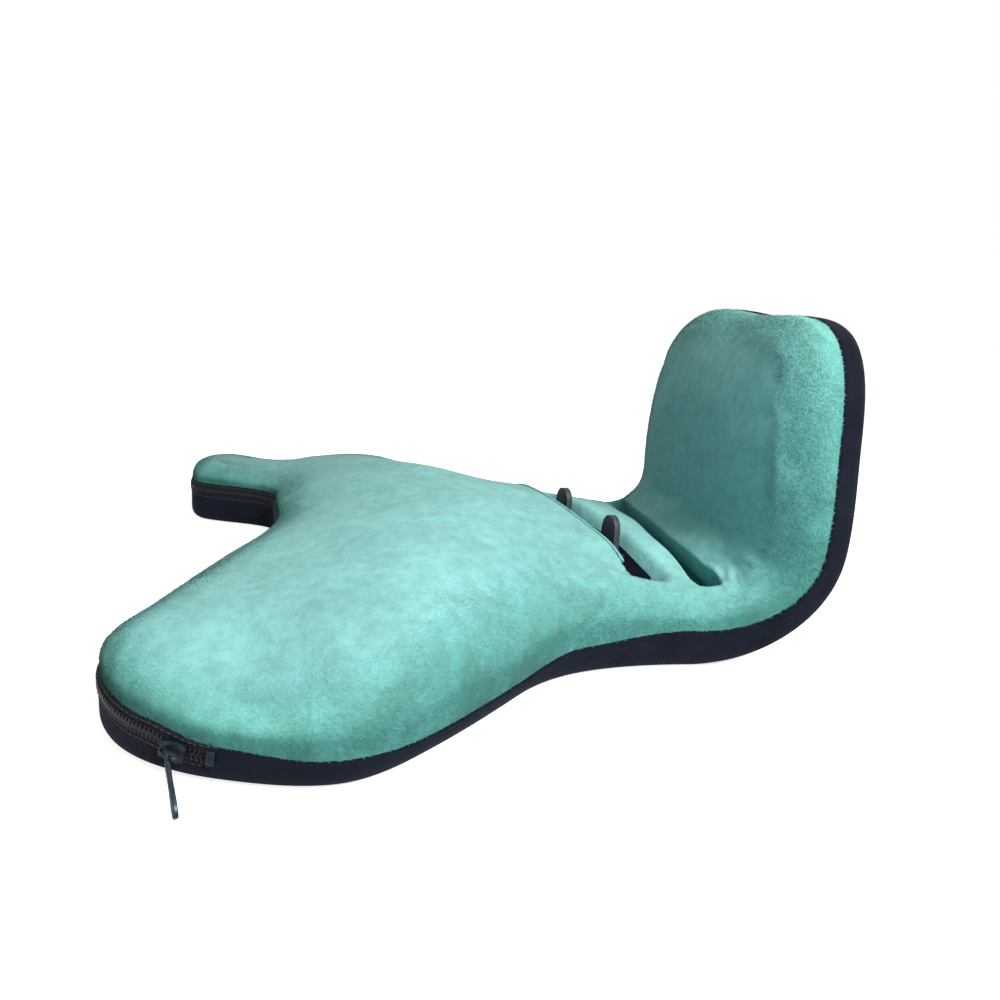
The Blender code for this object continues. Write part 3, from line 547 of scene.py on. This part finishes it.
def lining_edge(places):
    """Places round the slot's lining, in order, for the triangles to keep to."""
    columns = np.arange(-LINING_COLUMNS, LINING_COLUMNS + 1) * SLOT_COLUMN
    lip, foot, low, back = slot_rows(columns)
    front = list(zip(columns, lip + SLOT_WALL / 2))
    rear = list(zip(columns, lerp(low, back, 0.5)))
    ends = [[(columns[k], s) for s in (*np.linspace(foot[k], low[k], 5), lerp(low[k], back[k], 0.25))]
            for k in (-1, 0)]
    chain = front + ends[0] + rear[::-1] + ends[1][::-1]
    return [int(np.argmin(np.hypot(*(places - place).T))) for place in chain]


def relax(heights, links, fixed, turns):
    """Smooth heights over a triangulation, its rim held."""
    a, b = links.T
    count = np.bincount(np.concatenate((a, b)), minlength=len(heights)).astype(float)
    for _ in range(turns):
        total = np.bincount(a, heights[b], len(heights)) + np.bincount(b, heights[a], len(heights))
        heights = np.where(fixed, heights, lerp(heights, total / np.maximum(count, 1), 0.5))
    return heights


def cap(ring, flat, places, height_at, turns, row=None, edge=()):
    """Fill a ring of points with triangles over places.

    The triangles keep to a row, the first places in number, and to a closed edge of places.
    Gives the plan, the heights, the faces and the ring's own point for each, if it has one.
    """
    coords = [Vector(flat[v][:2]) for v in ring] + [Vector(p) for p in places]
    rim = len(ring)
    loop = [(i, (i + 1) % rim) for i in range(rim)]
    if row:
        ends = [min(range(rim), key=lambda i: (coords[i] - coords[j]).length) for j in (rim, rim + row - 1)]
        chain = [ends[0]] + list(range(rim, rim + row)) + [ends[1]]
        loop += list(zip(chain, chain[1:]))
    if edge:
        loop += [(rim + a, rim + b) for a, b in zip(edge, edge[1:] + edge[:1])]
    out, _, faces, origin, _, _ = delaunay_2d_cdt(coords, loop, [list(range(rim))], 1, 1e-7)
    plan = np.array([tuple(p) for p in out])
    source = [o[0] if o else -1 for o in origin]
    fixed = np.array([0 <= o < rim for o in source])
    heights = np.array(height_at(plan), float)
    for j, o in enumerate(source):
        if 0 <= o < rim:
            heights[j] = flat[ring[o]][2]
    links = np.array(sorted({tuple(sorted(pair)) for f in faces for pair in zip(f, f[1:] + f[:1])}))
    heights = relax(heights, links, fixed, turns)
    index = [ring[o] if 0 <= o < rim else None for o in source]
    return plan, heights, faces, index


def join(flat, plan, heights, index):
    """Add a cap's own points to the flat ones, and number them in its index."""
    fresh = [j for j, v in enumerate(index) if v is None]
    for k, j in enumerate(fresh):
        index[j] = len(flat) + k
    return np.concatenate((flat, np.column_stack((plan[fresh], heights[fresh]))))


def pad_surface():
    """The pad's outer surface: flat points, faces, the cover of each, and the zipper row's first point."""
    count = len(EDGE)
    zipped = smooth((SEAM - SIDE_SEAM) / ZIP_BLEND)
    middle = lerp(FOOT_RADIUS + (SEAM - FOOT_RADIUS) * 0.66, SEAM - TAPE_UPPER, zipped)
    lower = lerp(FOOT_RADIUS + (SEAM - FOOT_RADIUS) * 0.33, SEAM - TAPE_UPPER - TAPE_LOWER, zipped)
    in_zip = (NODE >= ZIP_FIRST_NODE) & (NODE < ZIP_LAST_NODE)
    levels = []

    def level(inset, height):
        place = EDGE + INWARD * inset
        levels.append(np.column_stack((place, np.broadcast_to(height, count))))

    for angle in (90, 72, 54, 36, 18, 0):
        turn = math.radians(angle)
        level(FOOT_RADIUS * (1 - math.cos(turn)), FOOT_RADIUS * (1 - math.sin(turn)))
    level(0.0, lerp(FOOT_RADIUS, lower, 0.5))
    lower_row = len(levels)
    level(0.0, lower)
    level(0.0, lerp(lower, middle, 0.5))
    middle_row = len(levels)
    level(0.0, middle)
    level(0.0, lerp(middle, SEAM, 0.65))
    seam_row = len(levels)
    level(SEAM_PINCH, SEAM)
    for inset in CROWN_RINGS:
        full = from_table(CROWN_HEIGHT, (EDGE + INWARD * inset)[:, 1])
        drawn = SEAM_PINCH * math.exp(-(inset / PINCH_FADE)) * 0.4
        levels.append(np.column_stack((EDGE + INWARD * (inset + drawn), crown(inset, SEAM, full))))
    flat = np.concatenate(levels)
    faces, names = [], []
    for k in range(len(levels) - 1):
        for i in range(count):
            j = (i + 1) % count
            if k < 3:
                side = (EDGE[i][1] + EDGE[j][1]) / 2
                name = "base_panel" if side < BEND_START else "back_panel"
            elif k < lower_row:
                name = "side_band"
            elif k < middle_row:
                name = "zipper_tape_lower" if in_zip[i] else "side_band"
            elif k < seam_row:
                name = "zipper_tape_upper" if in_zip[i] else "side_band"
            else:
                name = "plush_cover"
            faces.append((k * count + i, k * count + j, (k + 1) * count + j, (k + 1) * count + i))
            names.append(name)
    ring = list(range((len(levels) - 1) * count, len(levels) * count))

    def top_height(plan):
        distance, _ = edge_distance(plan)
        return crown(distance, TOP_SEAM, from_table(CROWN_HEIGHT, plan[:, 1]))

    places = top_points()
    plan, heights, tris, index = cap(ring, flat, places, top_height, 60, edge=lining_edge(places))
    change = relief(*plan.T) - slot_depth(*plan.T) - pocket_depth(*plan.T)
    heights = heights + np.where([v is None for v in index], change, 0.0)
    flat = join(flat, plan, heights, index)
    for face in tris:
        x, s = np.mean([plan[j] for j in face], 0)
        name = "plush_cover"
        lip, _, floor_end, back = slot_rows(x)
        in_slot = lip + SLOT_WALL / 2 < s < lerp(floor_end, back, 0.5)
        if in_slot and abs(x) < LINING_COLUMNS * SLOT_COLUMN:
            name = "slot_lining"
        elif abs(x) < POCKET_HALF_LENGTH and abs(s - POCKET_MIDDLE) < POCKET_HALF_WIDTH * 0.58:
            name = "pocket_lining"
        faces.append(tuple(index[j] for j in face))
        names.append(name)

    across = [(x, BEND_START) for x in np.arange(-7, 8) * FOLD_STEP]
    field = staggered(BASE_STEP, BASE_STEP * 0.8, 0.25, 18)
    distance, within = edge_distance(field)
    clear = np.abs(field[:, 1] - BEND_START) > BASE_GAP
    field = field[clear & within & (distance > FOOT_RADIUS + BASE_GAP)]
    plan, heights, tris, index = cap(list(range(count)), flat, np.concatenate((across, field)),
                                     lambda p: np.zeros(len(p)), 0, len(across))
    flat = join(flat, plan, heights, index)
    for face in tris:
        s = np.mean([plan[j][1] for j in face])
        faces.append(tuple(index[j] for j in reversed(face)))
        names.append("base_panel" if s < BEND_START else "back_panel")
    return flat, faces, names, middle_row * count


def row_shift(points):
    """The pad is built about its own plan; this takes it to the row frame, from the frame's own box."""
    low = np.min([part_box("plush_cover")[0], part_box("side_band")[0]], 0)
    high = np.max([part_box("plush_cover")[1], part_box("side_band")[1]], 0)
    shift = (low + high) / 2 - (points.min(0) + points.max(0)) / 2
    shift[2] = 0.0
    return shift


flat, faces, names, ZIP_START = pad_surface()
points = bend(flat)
SHIFT = row_shift(points)
points = points + SHIFT
names = np.array(names)


def inflate(points, faces, names):
    """Cloth with air pressure inside lifts the plush between its seams; the rest is held."""
    pad = new_object("pad_cloth", points, faces)
    held = sorted({v for f, n in zip(faces, names) if n != "plush_cover" for v in f})
    group = pad.vertex_groups.new(name="held")
    group.add(held, 1.0, "REPLACE")
    cloth = pad.modifiers.new("cloth", "CLOTH")
    settings = cloth.settings
    settings.quality = 4
    settings.mass = 0.25
    settings.tension_stiffness = 18
    settings.compression_stiffness = 18
    settings.shear_stiffness = 6
    settings.bending_stiffness = 0.6
    settings.use_pressure = True
    settings.uniform_pressure_force = 4.0
    settings.vertex_group_mass = "held"
    settings.effector_weights.gravity = 0.0
    cloth.collision_settings.use_collision = False
    cloth.collision_settings.use_self_collision = False
    cloth.point_cache.frame_start = 1
    cloth.point_cache.frame_end = CLOTH_FRAMES
    for number in range(1, CLOTH_FRAMES + 1):
        scene.frame_set(number)
    deps = bpy.context.evaluated_depsgraph_get()
    result = pad.evaluated_get(deps).to_mesh()
    moved = np.zeros(len(points) * 3, np.float32)
    result.vertices.foreach_get("co", moved)
    moved = moved.reshape(-1, 3).astype(float)
    scene.frame_set(1)
    bpy.data.objects.remove(pad, do_unlink=True)
    step = moved - points
    size = np.linalg.norm(step, axis=1)
    held_size = CLOTH_LIMIT * np.tanh(size / CLOTH_LIMIT)
    scale = np.where(size > 1e-9, held_size / np.maximum(size, 1e-9), 0.0)
    print("cloth moved up to", round(float(size.max()) * 1000, 2), "mm, kept under", CLOTH_LIMIT * 1000)
    return points + step * scale[:, None]


points = inflate(points, faces, names)


def normals_of(points, faces):
    """Smooth normals of the pad's points."""
    mesh = bpy.data.meshes.new("n")
    mesh.from_pydata([tuple(p) for p in points], [], faces)
    mesh.update()
    out = np.zeros(len(points) * 3, np.float32)
    mesh.vertex_normals.foreach_get("vector", out)
    bpy.data.meshes.remove(mesh)
    return out.reshape(-1, 3).astype(float)


NORMALS = normals_of(points, faces)
NEAR_SEAM = np.exp(-(edge_distance(flat[:, :2])[0] / SEAM_NAP_REACH) ** 2)


def near_seam(obj, used):
    """Store how near each point lies to the seam, 1 at it and 0 well inside."""
    share = obj.data.attributes.new("share", "FLOAT", "POINT")
    share.data.foreach_set("value", NEAR_SEAM[used].astype(np.float32))


def dress(obj, mat, cad_node=None, body="cushion"):
    """Give a piece its material, hide the CAD node that it replaces, and hang it on the body that carries it.
    """
    obj.data.materials.clear()
    obj.data.materials.append(mat)
    if cad_node:
        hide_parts(cad_node)
    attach(obj, body)
    return obj


def share_of(name, own):
    """An object of a share of the pad's faces, and its points' numbers in the whole pad."""
    used = sorted({v for f in own for v in f})
    order = {v: i for i, v in enumerate(used)}
    return new_object(name, points[used], [[order[v] for v in f] for f in own]), used


def cover(name, cad_node, mat):
    """One cover as its own closed skin: its share of the surface, subdivided, thickened inward."""
    obj, used = share_of(name, [f for f, n in zip(faces, names) if n == cad_node])
    if mat is PLUSH:
        near_seam(obj, used)
    sub = obj.modifiers.new("subdivide", "SUBSURF")
    sub.levels = sub.render_levels = 1
    sub.boundary_smooth = "ALL"
    solid = obj.modifiers.new("thickness", "SOLIDIFY")
    solid.thickness = SKIN
    solid.offset = -1.0
    obj = bake(obj, name)
    shade_smooth(obj, 60)
    return dress(obj, mat, cad_node)


plush = cover("plush_top", "plush_cover", PLUSH)
cover("knit_side_band", "side_band", KNIT)
cover("knit_base", "base_panel", KNIT)
cover("knit_back", "back_panel", KNIT)
cover("slot_liner", "slot_lining", KNIT)
cover("pocket_liner", "pocket_lining", LINING)
cover("zip_tape_upper", "zipper_tape_upper", TAPE)
cover("zip_tape_lower", "zipper_tape_lower", TAPE)

# Zipper


def zip_path():
    """Middle line of the zipper with its outward direction, one corner for each of the outline."""
    chosen = np.where((NODE >= ZIP_FIRST_NODE) & (NODE <= ZIP_LAST_NODE))[0]
    line = points[ZIP_START + chosen]
    outward = np.column_stack((-INWARD[chosen], np.zeros(len(chosen))))
    return line, outward


def read_along(at, values, where):
    """Values of a chain, read between its own places."""
    return np.stack([np.interp(where, at, values[:, k]) for k in range(3)], 1)


def sample_path(line, outward, distances):
    """Places, outward and forward directions at distances along the zipper."""
    steps = np.linalg.norm(np.diff(line, axis=0), axis=1)
    at = np.concatenate(((0.0,), np.cumsum(steps)))
    place = read_along(at, line, distances)
    out = read_along(at, outward, distances)
    out /= np.linalg.norm(out, axis=1)[:, None]
    forward = read_along(at, line, distances + 0.001) - read_along(at, line, distances - 0.001)
    forward -= out * np.sum(forward * out, 1)[:, None]
    forward /= np.linalg.norm(forward, axis=1)[:, None]
    return place, out, forward


ZIP_LINE, ZIP_OUT = zip_path()
ZIP_LENGTH = float(np.linalg.norm(np.diff(ZIP_LINE, axis=0), axis=1).sum())
TOOTH_PITCH = 0.0020


def loft(name, rings):
    """A closed tube through rings of points."""
    sides = len(rings[0])
    quads = []
    for r in range(0, (len(rings) - 1) * sides, sides):
        for k in range(sides):
            q = (k + 1) % sides
            quads.append((r + k, r + q, r + sides + q, r + sides + k))
    quads.append(tuple(reversed(range(sides))))
    quads.append(tuple(range((len(rings) - 1) * sides, len(rings) * sides)))
    return new_object(name, [place for ring in rings for place in ring], quads)


def angles(sides):
    """Directions of a ring's points."""
    return [2 * math.pi * k / sides for k in range(sides)]


def tooth_mesh():
    """One turn of the coil as it is seen from outside: a rounded bar with a head at its inner end."""
    length, width, height = 0.0033, 0.00062, 0.0010
    rings = ((0.0, 0.80, 0.70), (0.10, 1.15, 0.95), (0.30, 1.0, 1.0), (0.80, 0.9, 0.85), (1.0, 0.6, 0.4))
    obj = loft("tooth", [[(width * wide * math.cos(a), along * length - 0.0002,
                           height * (0.55 + 0.55 * tall * math.sin(a))) for a in angles(6)]
                         for along, wide, tall in rings])
    work = bmesh.new()
    work.from_mesh(obj.data)
    bmesh.ops.recalc_face_normals(work, faces=work.faces)
    work.to_mesh(obj.data)
    work.free()
    shade_smooth(obj)
    return obj


def start_tree(name, *inputs):
    """A Geometry Nodes tree, its input node, and the identifiers of its named inputs."""
    tree = bpy.data.node_groups.new(name, "GeometryNodeTree")
    tree.interface.new_socket("Geometry", in_out="INPUT", socket_type="NodeSocketGeometry")
    found = [tree.interface.new_socket(label, in_out="INPUT", socket_type=kind).identifier
             for label, kind in inputs]
    tree.interface.new_socket("Geometry", in_out="OUTPUT", socket_type="NodeSocketGeometry")
    return tree, add(tree, "NodeGroupInput"), found


def end_tree(tree, item, mat, values):
    """Put an item on every point, make it real and give it its material."""
    info = add(tree, "GeometryNodeObjectInfo", {"Object": item}, transform_space="ORIGINAL")
    placed = add(tree, "GeometryNodeInstanceOnPoints", {"Instance": info.outputs["Geometry"], **values})
    real = add(tree, "GeometryNodeRealizeInstances", {"Geometry": placed.outputs[0]})
    paint = add(tree, "GeometryNodeSetMaterial", {"Geometry": real.outputs[0], "Material": mat})
    add(tree, "NodeGroupOutput", {"Geometry": paint.outputs[0]})


def repeat_tree(name, item, mat):
    """Geometry Nodes: an item on every point, turned by the point's own attribute."""
    tree, into, found = start_tree(name, ("Item Size", "NodeSocketFloat"))
    turn = add(tree, "GeometryNodeInputNamedAttribute", {"Name": "turn"}, data_type="FLOAT_VECTOR")
    end_tree(tree, item, mat, {
        "Points": into.outputs["Geometry"], "Rotation": turn.outputs["Attribute"],
        "Scale": into.outputs["Item Size"]})
    return tree, *found


def repeat_on(name, places, frames, item, mat, cad_node=None):
    """Points with a turn each, then the tree above, baked to one mesh."""
    obj = new_object(name, places, [])
    turns = obj.data.attributes.new("turn", "FLOAT_VECTOR", "POINT")
    eulers = [Matrix(f).transposed().to_euler() for f in frames]
    turns.data.foreach_set("vector", np.array([tuple(e) for e in eulers], np.float32).ravel())
    tree, socket = repeat_tree(name + "_tree", item, mat)
    change = obj.modifiers.new("repeat", "NODES")
    change.node_group = tree
    change[socket] = 1.0
    obj = bake(obj, name)
    shade_smooth(obj, 50)
    return dress(obj, mat, cad_node)


def coil_row(name, side, cad_node):
    """One row of teeth on its tape, half a pitch out of step with the other."""
    first = 0.0060 + (TOOTH_PITCH / 2 if side < 0 else 0.0)
    distances = np.arange(first, ZIP_LENGTH - 0.0050, TOOTH_PITCH)
    place, out, forward = sample_path(ZIP_LINE, ZIP_OUT, distances)
    up = np.cross(out, forward)
    opened = np.clip((distances - (ZIP_LENGTH - 0.0150)) / 0.012, 0, 1)
    place = place + side * up * (-0.0005 + 0.0007 * opened[:, None]) - out * 0.0003
    frames = []
    lean = 0.20
    for f, u, o in zip(forward, up, out):
        y = side * u * math.cos(lean) + f * math.sin(lean)
        x = np.cross(y, o)
        frames.append((tuple(x), tuple(y), tuple(o)))
    repeat_on(name, place, frames, TOOTH, COIL, cad_node)


TOOTH = tooth_mesh()
coil_row("coil_teeth_upper", 1, "zipper_coil_upper")
coil_row("coil_teeth_lower", -1, "zipper_coil_lower")
bpy.data.objects.remove(TOOTH, do_unlink=True)


def cord_along(name, line, radius, mat):
    """A round cord through a chain of places."""
    curve = bpy.data.curves.new(name, "CURVE")
    curve.dimensions = "3D"
    curve.bevel_depth = radius
    curve.bevel_resolution = 2
    curve.use_fill_caps = True
    spline = curve.splines.new("POLY")
    spline.points.add(len(line) - 1)
    spline.points.foreach_set("co", np.column_stack((line, np.ones(len(line)))).ravel())
    obj = bpy.data.objects.new(name, curve)
    scene.collection.objects.link(obj)
    obj = bake(obj, name)
    shade_smooth(obj)
    return dress(obj, mat)


def lip_hem():
    """The plush is turned over and stitched along the slot's front lip: a thin bright roll."""
    x, s, h = flat.T
    on_lip = np.abs(s - slot_rows(x)[0]) < 0.0002
    chosen = np.where(on_lip & (np.abs(x) < SLOT_HALF_LENGTH + 0.004) & (h > 0.03))[0]
    chosen = chosen[np.argsort(x[chosen])]
    line = points[chosen] + NORMALS[chosen] * 0.0001
    fine = np.linspace(0, len(line) - 1, 90)
    line = read_along(np.arange(len(line)), line, fine)
    return cord_along("slot_lip_hem", line, 0.0009, PLUSH)


def stitch_mesh():
    """One lockstitch: a short thread that dips at both ends."""
    length, radius = 0.0021, 0.00022
    rings = ((-0.5, 0.5, -0.00025), (-0.3, 1.0, 0.0), (0.3, 1.0, 0.0), (0.5, 0.5, -0.00025))
    return loft("stitch", [[
        (along * length, radius * wide * math.cos(a), deep + radius * wide * math.sin(a))
        for a in angles(5)] for along, wide, deep in rings])


def stitch_row(name, drop, proud):
    """A row of stitches along the zipper, a stated drop from its middle line."""
    distances = np.arange(0.003, ZIP_LENGTH - 0.003, 0.0029)
    place, out, forward = sample_path(ZIP_LINE, ZIP_OUT, distances)
    up = np.cross(out, forward)
    frames = [(tuple(f), tuple(u), tuple(o)) for f, u, o in zip(forward, up, out)]
    repeat_on(name, place + up * drop + out * proud, frames, STITCH, THREAD)


STITCH = stitch_mesh()
stitch_row("tape_stitches_upper", TAPE_UPPER * 0.74, -0.00022)
stitch_row("tape_stitches_lower", -TAPE_LOWER * 0.84, 0.00012)
bpy.data.objects.remove(STITCH, do_unlink=True)
lip_hem()


def refine(name, cad_node, mat, body, bevel=0.0003, angle=35, segments=2):
    """A CAD node's own shape with worn-in edges."""
    obj = bpy.data.objects.new(name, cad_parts[cad_node].data.copy())
    scene.collection.objects.link(obj)
    work = bmesh.new()
    work.from_mesh(obj.data)
    bmesh.ops.remove_doubles(work, verts=work.verts, dist=0.00002)
    bmesh.ops.dissolve_limit(work, angle_limit=math.radians(2), verts=work.verts, edges=work.edges)
    work.to_mesh(obj.data)
    work.free()
    edge = obj.modifiers.new("edge", "BEVEL")
    edge.width = bevel
    edge.segments = segments
    edge.limit_method = "ANGLE"
    edge.angle_limit = math.radians(angle)
    obj = bake(obj, name)
    shade_smooth(obj, 50)
    return dress(obj, mat, cad_node, body)


refine("slider_body", "zipper_slider", METAL, "cushion", 0.00022)
refine("pull_tab", "zipper_pull", METAL, "pull", 0.00022)
refine("coil_stop_near", "zipper_stop_near", METAL, "cushion")
refine("coil_stop_far", "zipper_stop_far", METAL, "cushion")
refine("slot_fingers", "slot_comb", RUBBER, "cushion", 0.0009, 40, 3)


def foam_fill():
    """The cut foam under the covers, a little inside them."""
    inset = 0.0036
    dress(new_object("foam_fill", points - NORMALS * inset, faces), FOAM, "foam_core")


foam_fill()

# Plush pile


def tuft_mesh():
    """One lock of pile: a short three-sided spike, bent a little toward its tip."""
    wide, length, bent = 0.00022, 0.0018, 0.0003
    foot = [(wide * math.cos(a), wide * math.sin(a), 0.0) for a in (0.0, 2.1, 4.2)]
    obj = new_object("tuft", foot + [(bent, 0.0, length)], [(0, 1, 3), (1, 2, 3), (2, 0, 3)])
    shade_smooth(obj)
    return obj


def pile_tree(item):
    """Geometry Nodes: locks strewn as densely as the surface's own attribute asks, laid by the nap."""
    tree, into, found = start_tree("pile", ("Density", "NodeSocketFloat"), ("Seed", "NodeSocketInt"))
    share = add(tree, "GeometryNodeInputNamedAttribute", {"Name": "share"}, data_type="FLOAT")
    wanted = add(tree, "ShaderNodeMath", {0: into.outputs["Density"], 1: share.outputs["Attribute"]},
                 operation="MULTIPLY")
    strewn = add(tree, "GeometryNodeDistributePointsOnFaces", {
        "Mesh": into.outputs["Geometry"], "Density": wanted.outputs[0], "Seed": into.outputs["Seed"]})
    kept = add(tree, "GeometryNodeStoreNamedAttribute", {
        "Geometry": strewn.outputs["Points"], "Name": "skin_normal", "Value": strewn.outputs["Normal"]},
        data_type="FLOAT_VECTOR", domain="POINT")
    lean = add(tree, "FunctionNodeRandomValue", {0: (0.0, 0.85, -0.9), 1: (0.0, 1.38, 0.9), "Seed": 3},
               data_type="FLOAT_VECTOR")
    turn = add(tree, "FunctionNodeRotateRotation", {
        "Rotation": strewn.outputs["Rotation"], "Rotate By": lean.outputs[0]}, rotation_space="LOCAL")
    size = add(tree, "FunctionNodeRandomValue", {2: 0.55, 3: 1.15, "Seed": 5}, data_type="FLOAT")
    short = add(tree, "ShaderNodeMapRange", {
        "Value": share.outputs["Attribute"], "To Min": 0.45, "To Max": 1.0})
    grown = add(tree, "ShaderNodeMath", {0: size.outputs[1], 1: short.outputs[0]}, operation="MULTIPLY")
    end_tree(tree, item, FIBRE, {
        "Points": kept.outputs[0], "Rotation": turn.outputs[0], "Scale": grown.outputs[0]})
    return tree, *found


def pile_on(name, keep, density, seed):
    """Pile over the share of the plush whose face centres pass a test, thicker toward the seams."""
    own = [f for f, n in zip(faces, names) if n == "plush_cover"
           and keep(*np.mean([points[v] for v in f], 0))]
    obj, used = share_of(name, own)
    near_seam(obj, used)
    shade_smooth(obj)
    sub = obj.modifiers.new("subdivide", "SUBSURF")
    sub.levels = sub.render_levels = 1
    tree, density_id, seed_id = pile_tree(TUFT)
    change = obj.modifiers.new("pile", "NODES")
    change.node_group = tree
    change[density_id] = density
    change[seed_id] = seed
    obj = dress(bake(obj, name), FIBRE)
    print(name, "triangles", sum(len(p.vertices) - 2 for p in obj.data.polygons))


TUFT = tuft_mesh()
waist = 0.030
middle = 0.020
pile_on("pile_near_lobe", lambda x, y, z: y < waist and x > middle, 4900000, 11)
pile_on("pile_far_lobe", lambda x, y, z: y < waist and x <= middle, 3800000, 12)
pile_on("pile_waist_and_back", lambda x, y, z: y >= waist, 2900000, 13)
bpy.data.objects.remove(TUFT, do_unlink=True)

# Studio


def studio():
    """White floor and surround that read as paper, soft light from above and behind the left shoulder."""
    world = bpy.data.worlds.new("surround")
    scene.world = world
    world.use_nodes = True
    tree = world.node_tree
    tree.nodes.clear()
    path = add(tree, "ShaderNodeLightPath")
    seen = add(tree, "ShaderNodeMath", {0: path.outputs["Is Camera Ray"], 1: path.outputs["Is Glossy Ray"]},
               operation="MAXIMUM")
    seen = add(tree, "ShaderNodeMath", {0: seen.outputs[0], 1: path.outputs["Is Transmission Ray"]},
               operation="MAXIMUM")
    glow = add(tree, "ShaderNodeBackground", {"Color": (1, 1, 1, 1), "Strength": 0.22})
    paper = add(tree, "ShaderNodeBackground", {"Color": (1, 1, 1, 1), "Strength": 1.0})
    both = add(tree, "ShaderNodeMixShader", {0: seen.outputs[0], 1: glow.outputs[0], 2: paper.outputs[0]})
    add(tree, "ShaderNodeOutputWorld", {"Surface": both.outputs[0]})

    corners = ((-1, -1), (1, -1), (1, 1), (-1, 1))
    floor = new_object("floor", [(40 * x, 40 * y, -0.0002) for x, y in corners], [(0, 1, 2, 3)])
    mat = bpy.data.materials.new("white_paper_sweep")
    mat.use_nodes = True
    tree = mat.node_tree
    tree.nodes.clear()
    path = add(tree, "ShaderNodeLightPath")
    paint = add(tree, "ShaderNodeBsdfDiffuse", {"Color": (0.9, 0.9, 0.9, 1)})
    shine = add(tree, "ShaderNodeEmission", {"Color": (1, 1, 1, 1), "Strength": 0.82})
    lit = add(tree, "ShaderNodeAddShader", {0: paint.outputs[0], 1: shine.outputs[0]})
    pick = add(tree, "ShaderNodeMixShader", {0: path.outputs["Is Camera Ray"], 1: paint.outputs[0],
                                             2: lit.outputs[0]})
    add(tree, "ShaderNodeOutputMaterial", {"Surface": pick.outputs[0]})
    floor.data.materials.append(mat)

    for name, place, size, power in (
            ("key", (0.80, 0.36, 0.88), 0.42, 18.0),
            ("lobe_side", (0.30, -1.1, 0.9), 0.8, 1.4)):
        lamp = bpy.data.lights.new(name, "AREA")
        lamp.shape = "DISK"
        lamp.size = size
        lamp.energy = power
        obj = bpy.data.objects.new(name, lamp)
        obj.location = place
        aim = Vector((0.0, 0.0, 0.05)) - Vector(place)
        obj.rotation_euler = aim.to_track_quat("-Z", "Y").to_euler()
        scene.collection.objects.link(obj)


def camera():
    """The photograph's view: from the near side, a little above, turned slightly on its axis."""
    yaw, pitch, roll = (math.radians(v) for v in (13.93, 15.79, 5.53))
    ahead = Vector((-math.cos(yaw) * math.cos(pitch), math.sin(yaw) * math.cos(pitch), -math.sin(pitch)))
    right = Vector((math.sin(yaw), math.cos(yaw), 0.0))
    up = right.cross(ahead)
    right, up = (right * math.cos(roll) + up * math.sin(roll), up * math.cos(roll) - right * math.sin(roll))
    lens = bpy.data.cameras.new("camera")
    lens.sensor_width = 36.0
    lens.lens = 0.83628 * 36.0
    lens.clip_start = 0.01
    obj = bpy.data.objects.new("camera", lens)
    turn = Matrix((right, up, -ahead)).transposed().to_4x4()
    turn.translation = Vector((0.46929, -0.17721, 0.20117)) + Vector(SHIFT)
    obj.matrix_world = turn
    scene.collection.objects.link(obj)
    scene.camera = obj


scene.view_settings.view_transform = "Standard"
studio()
camera()
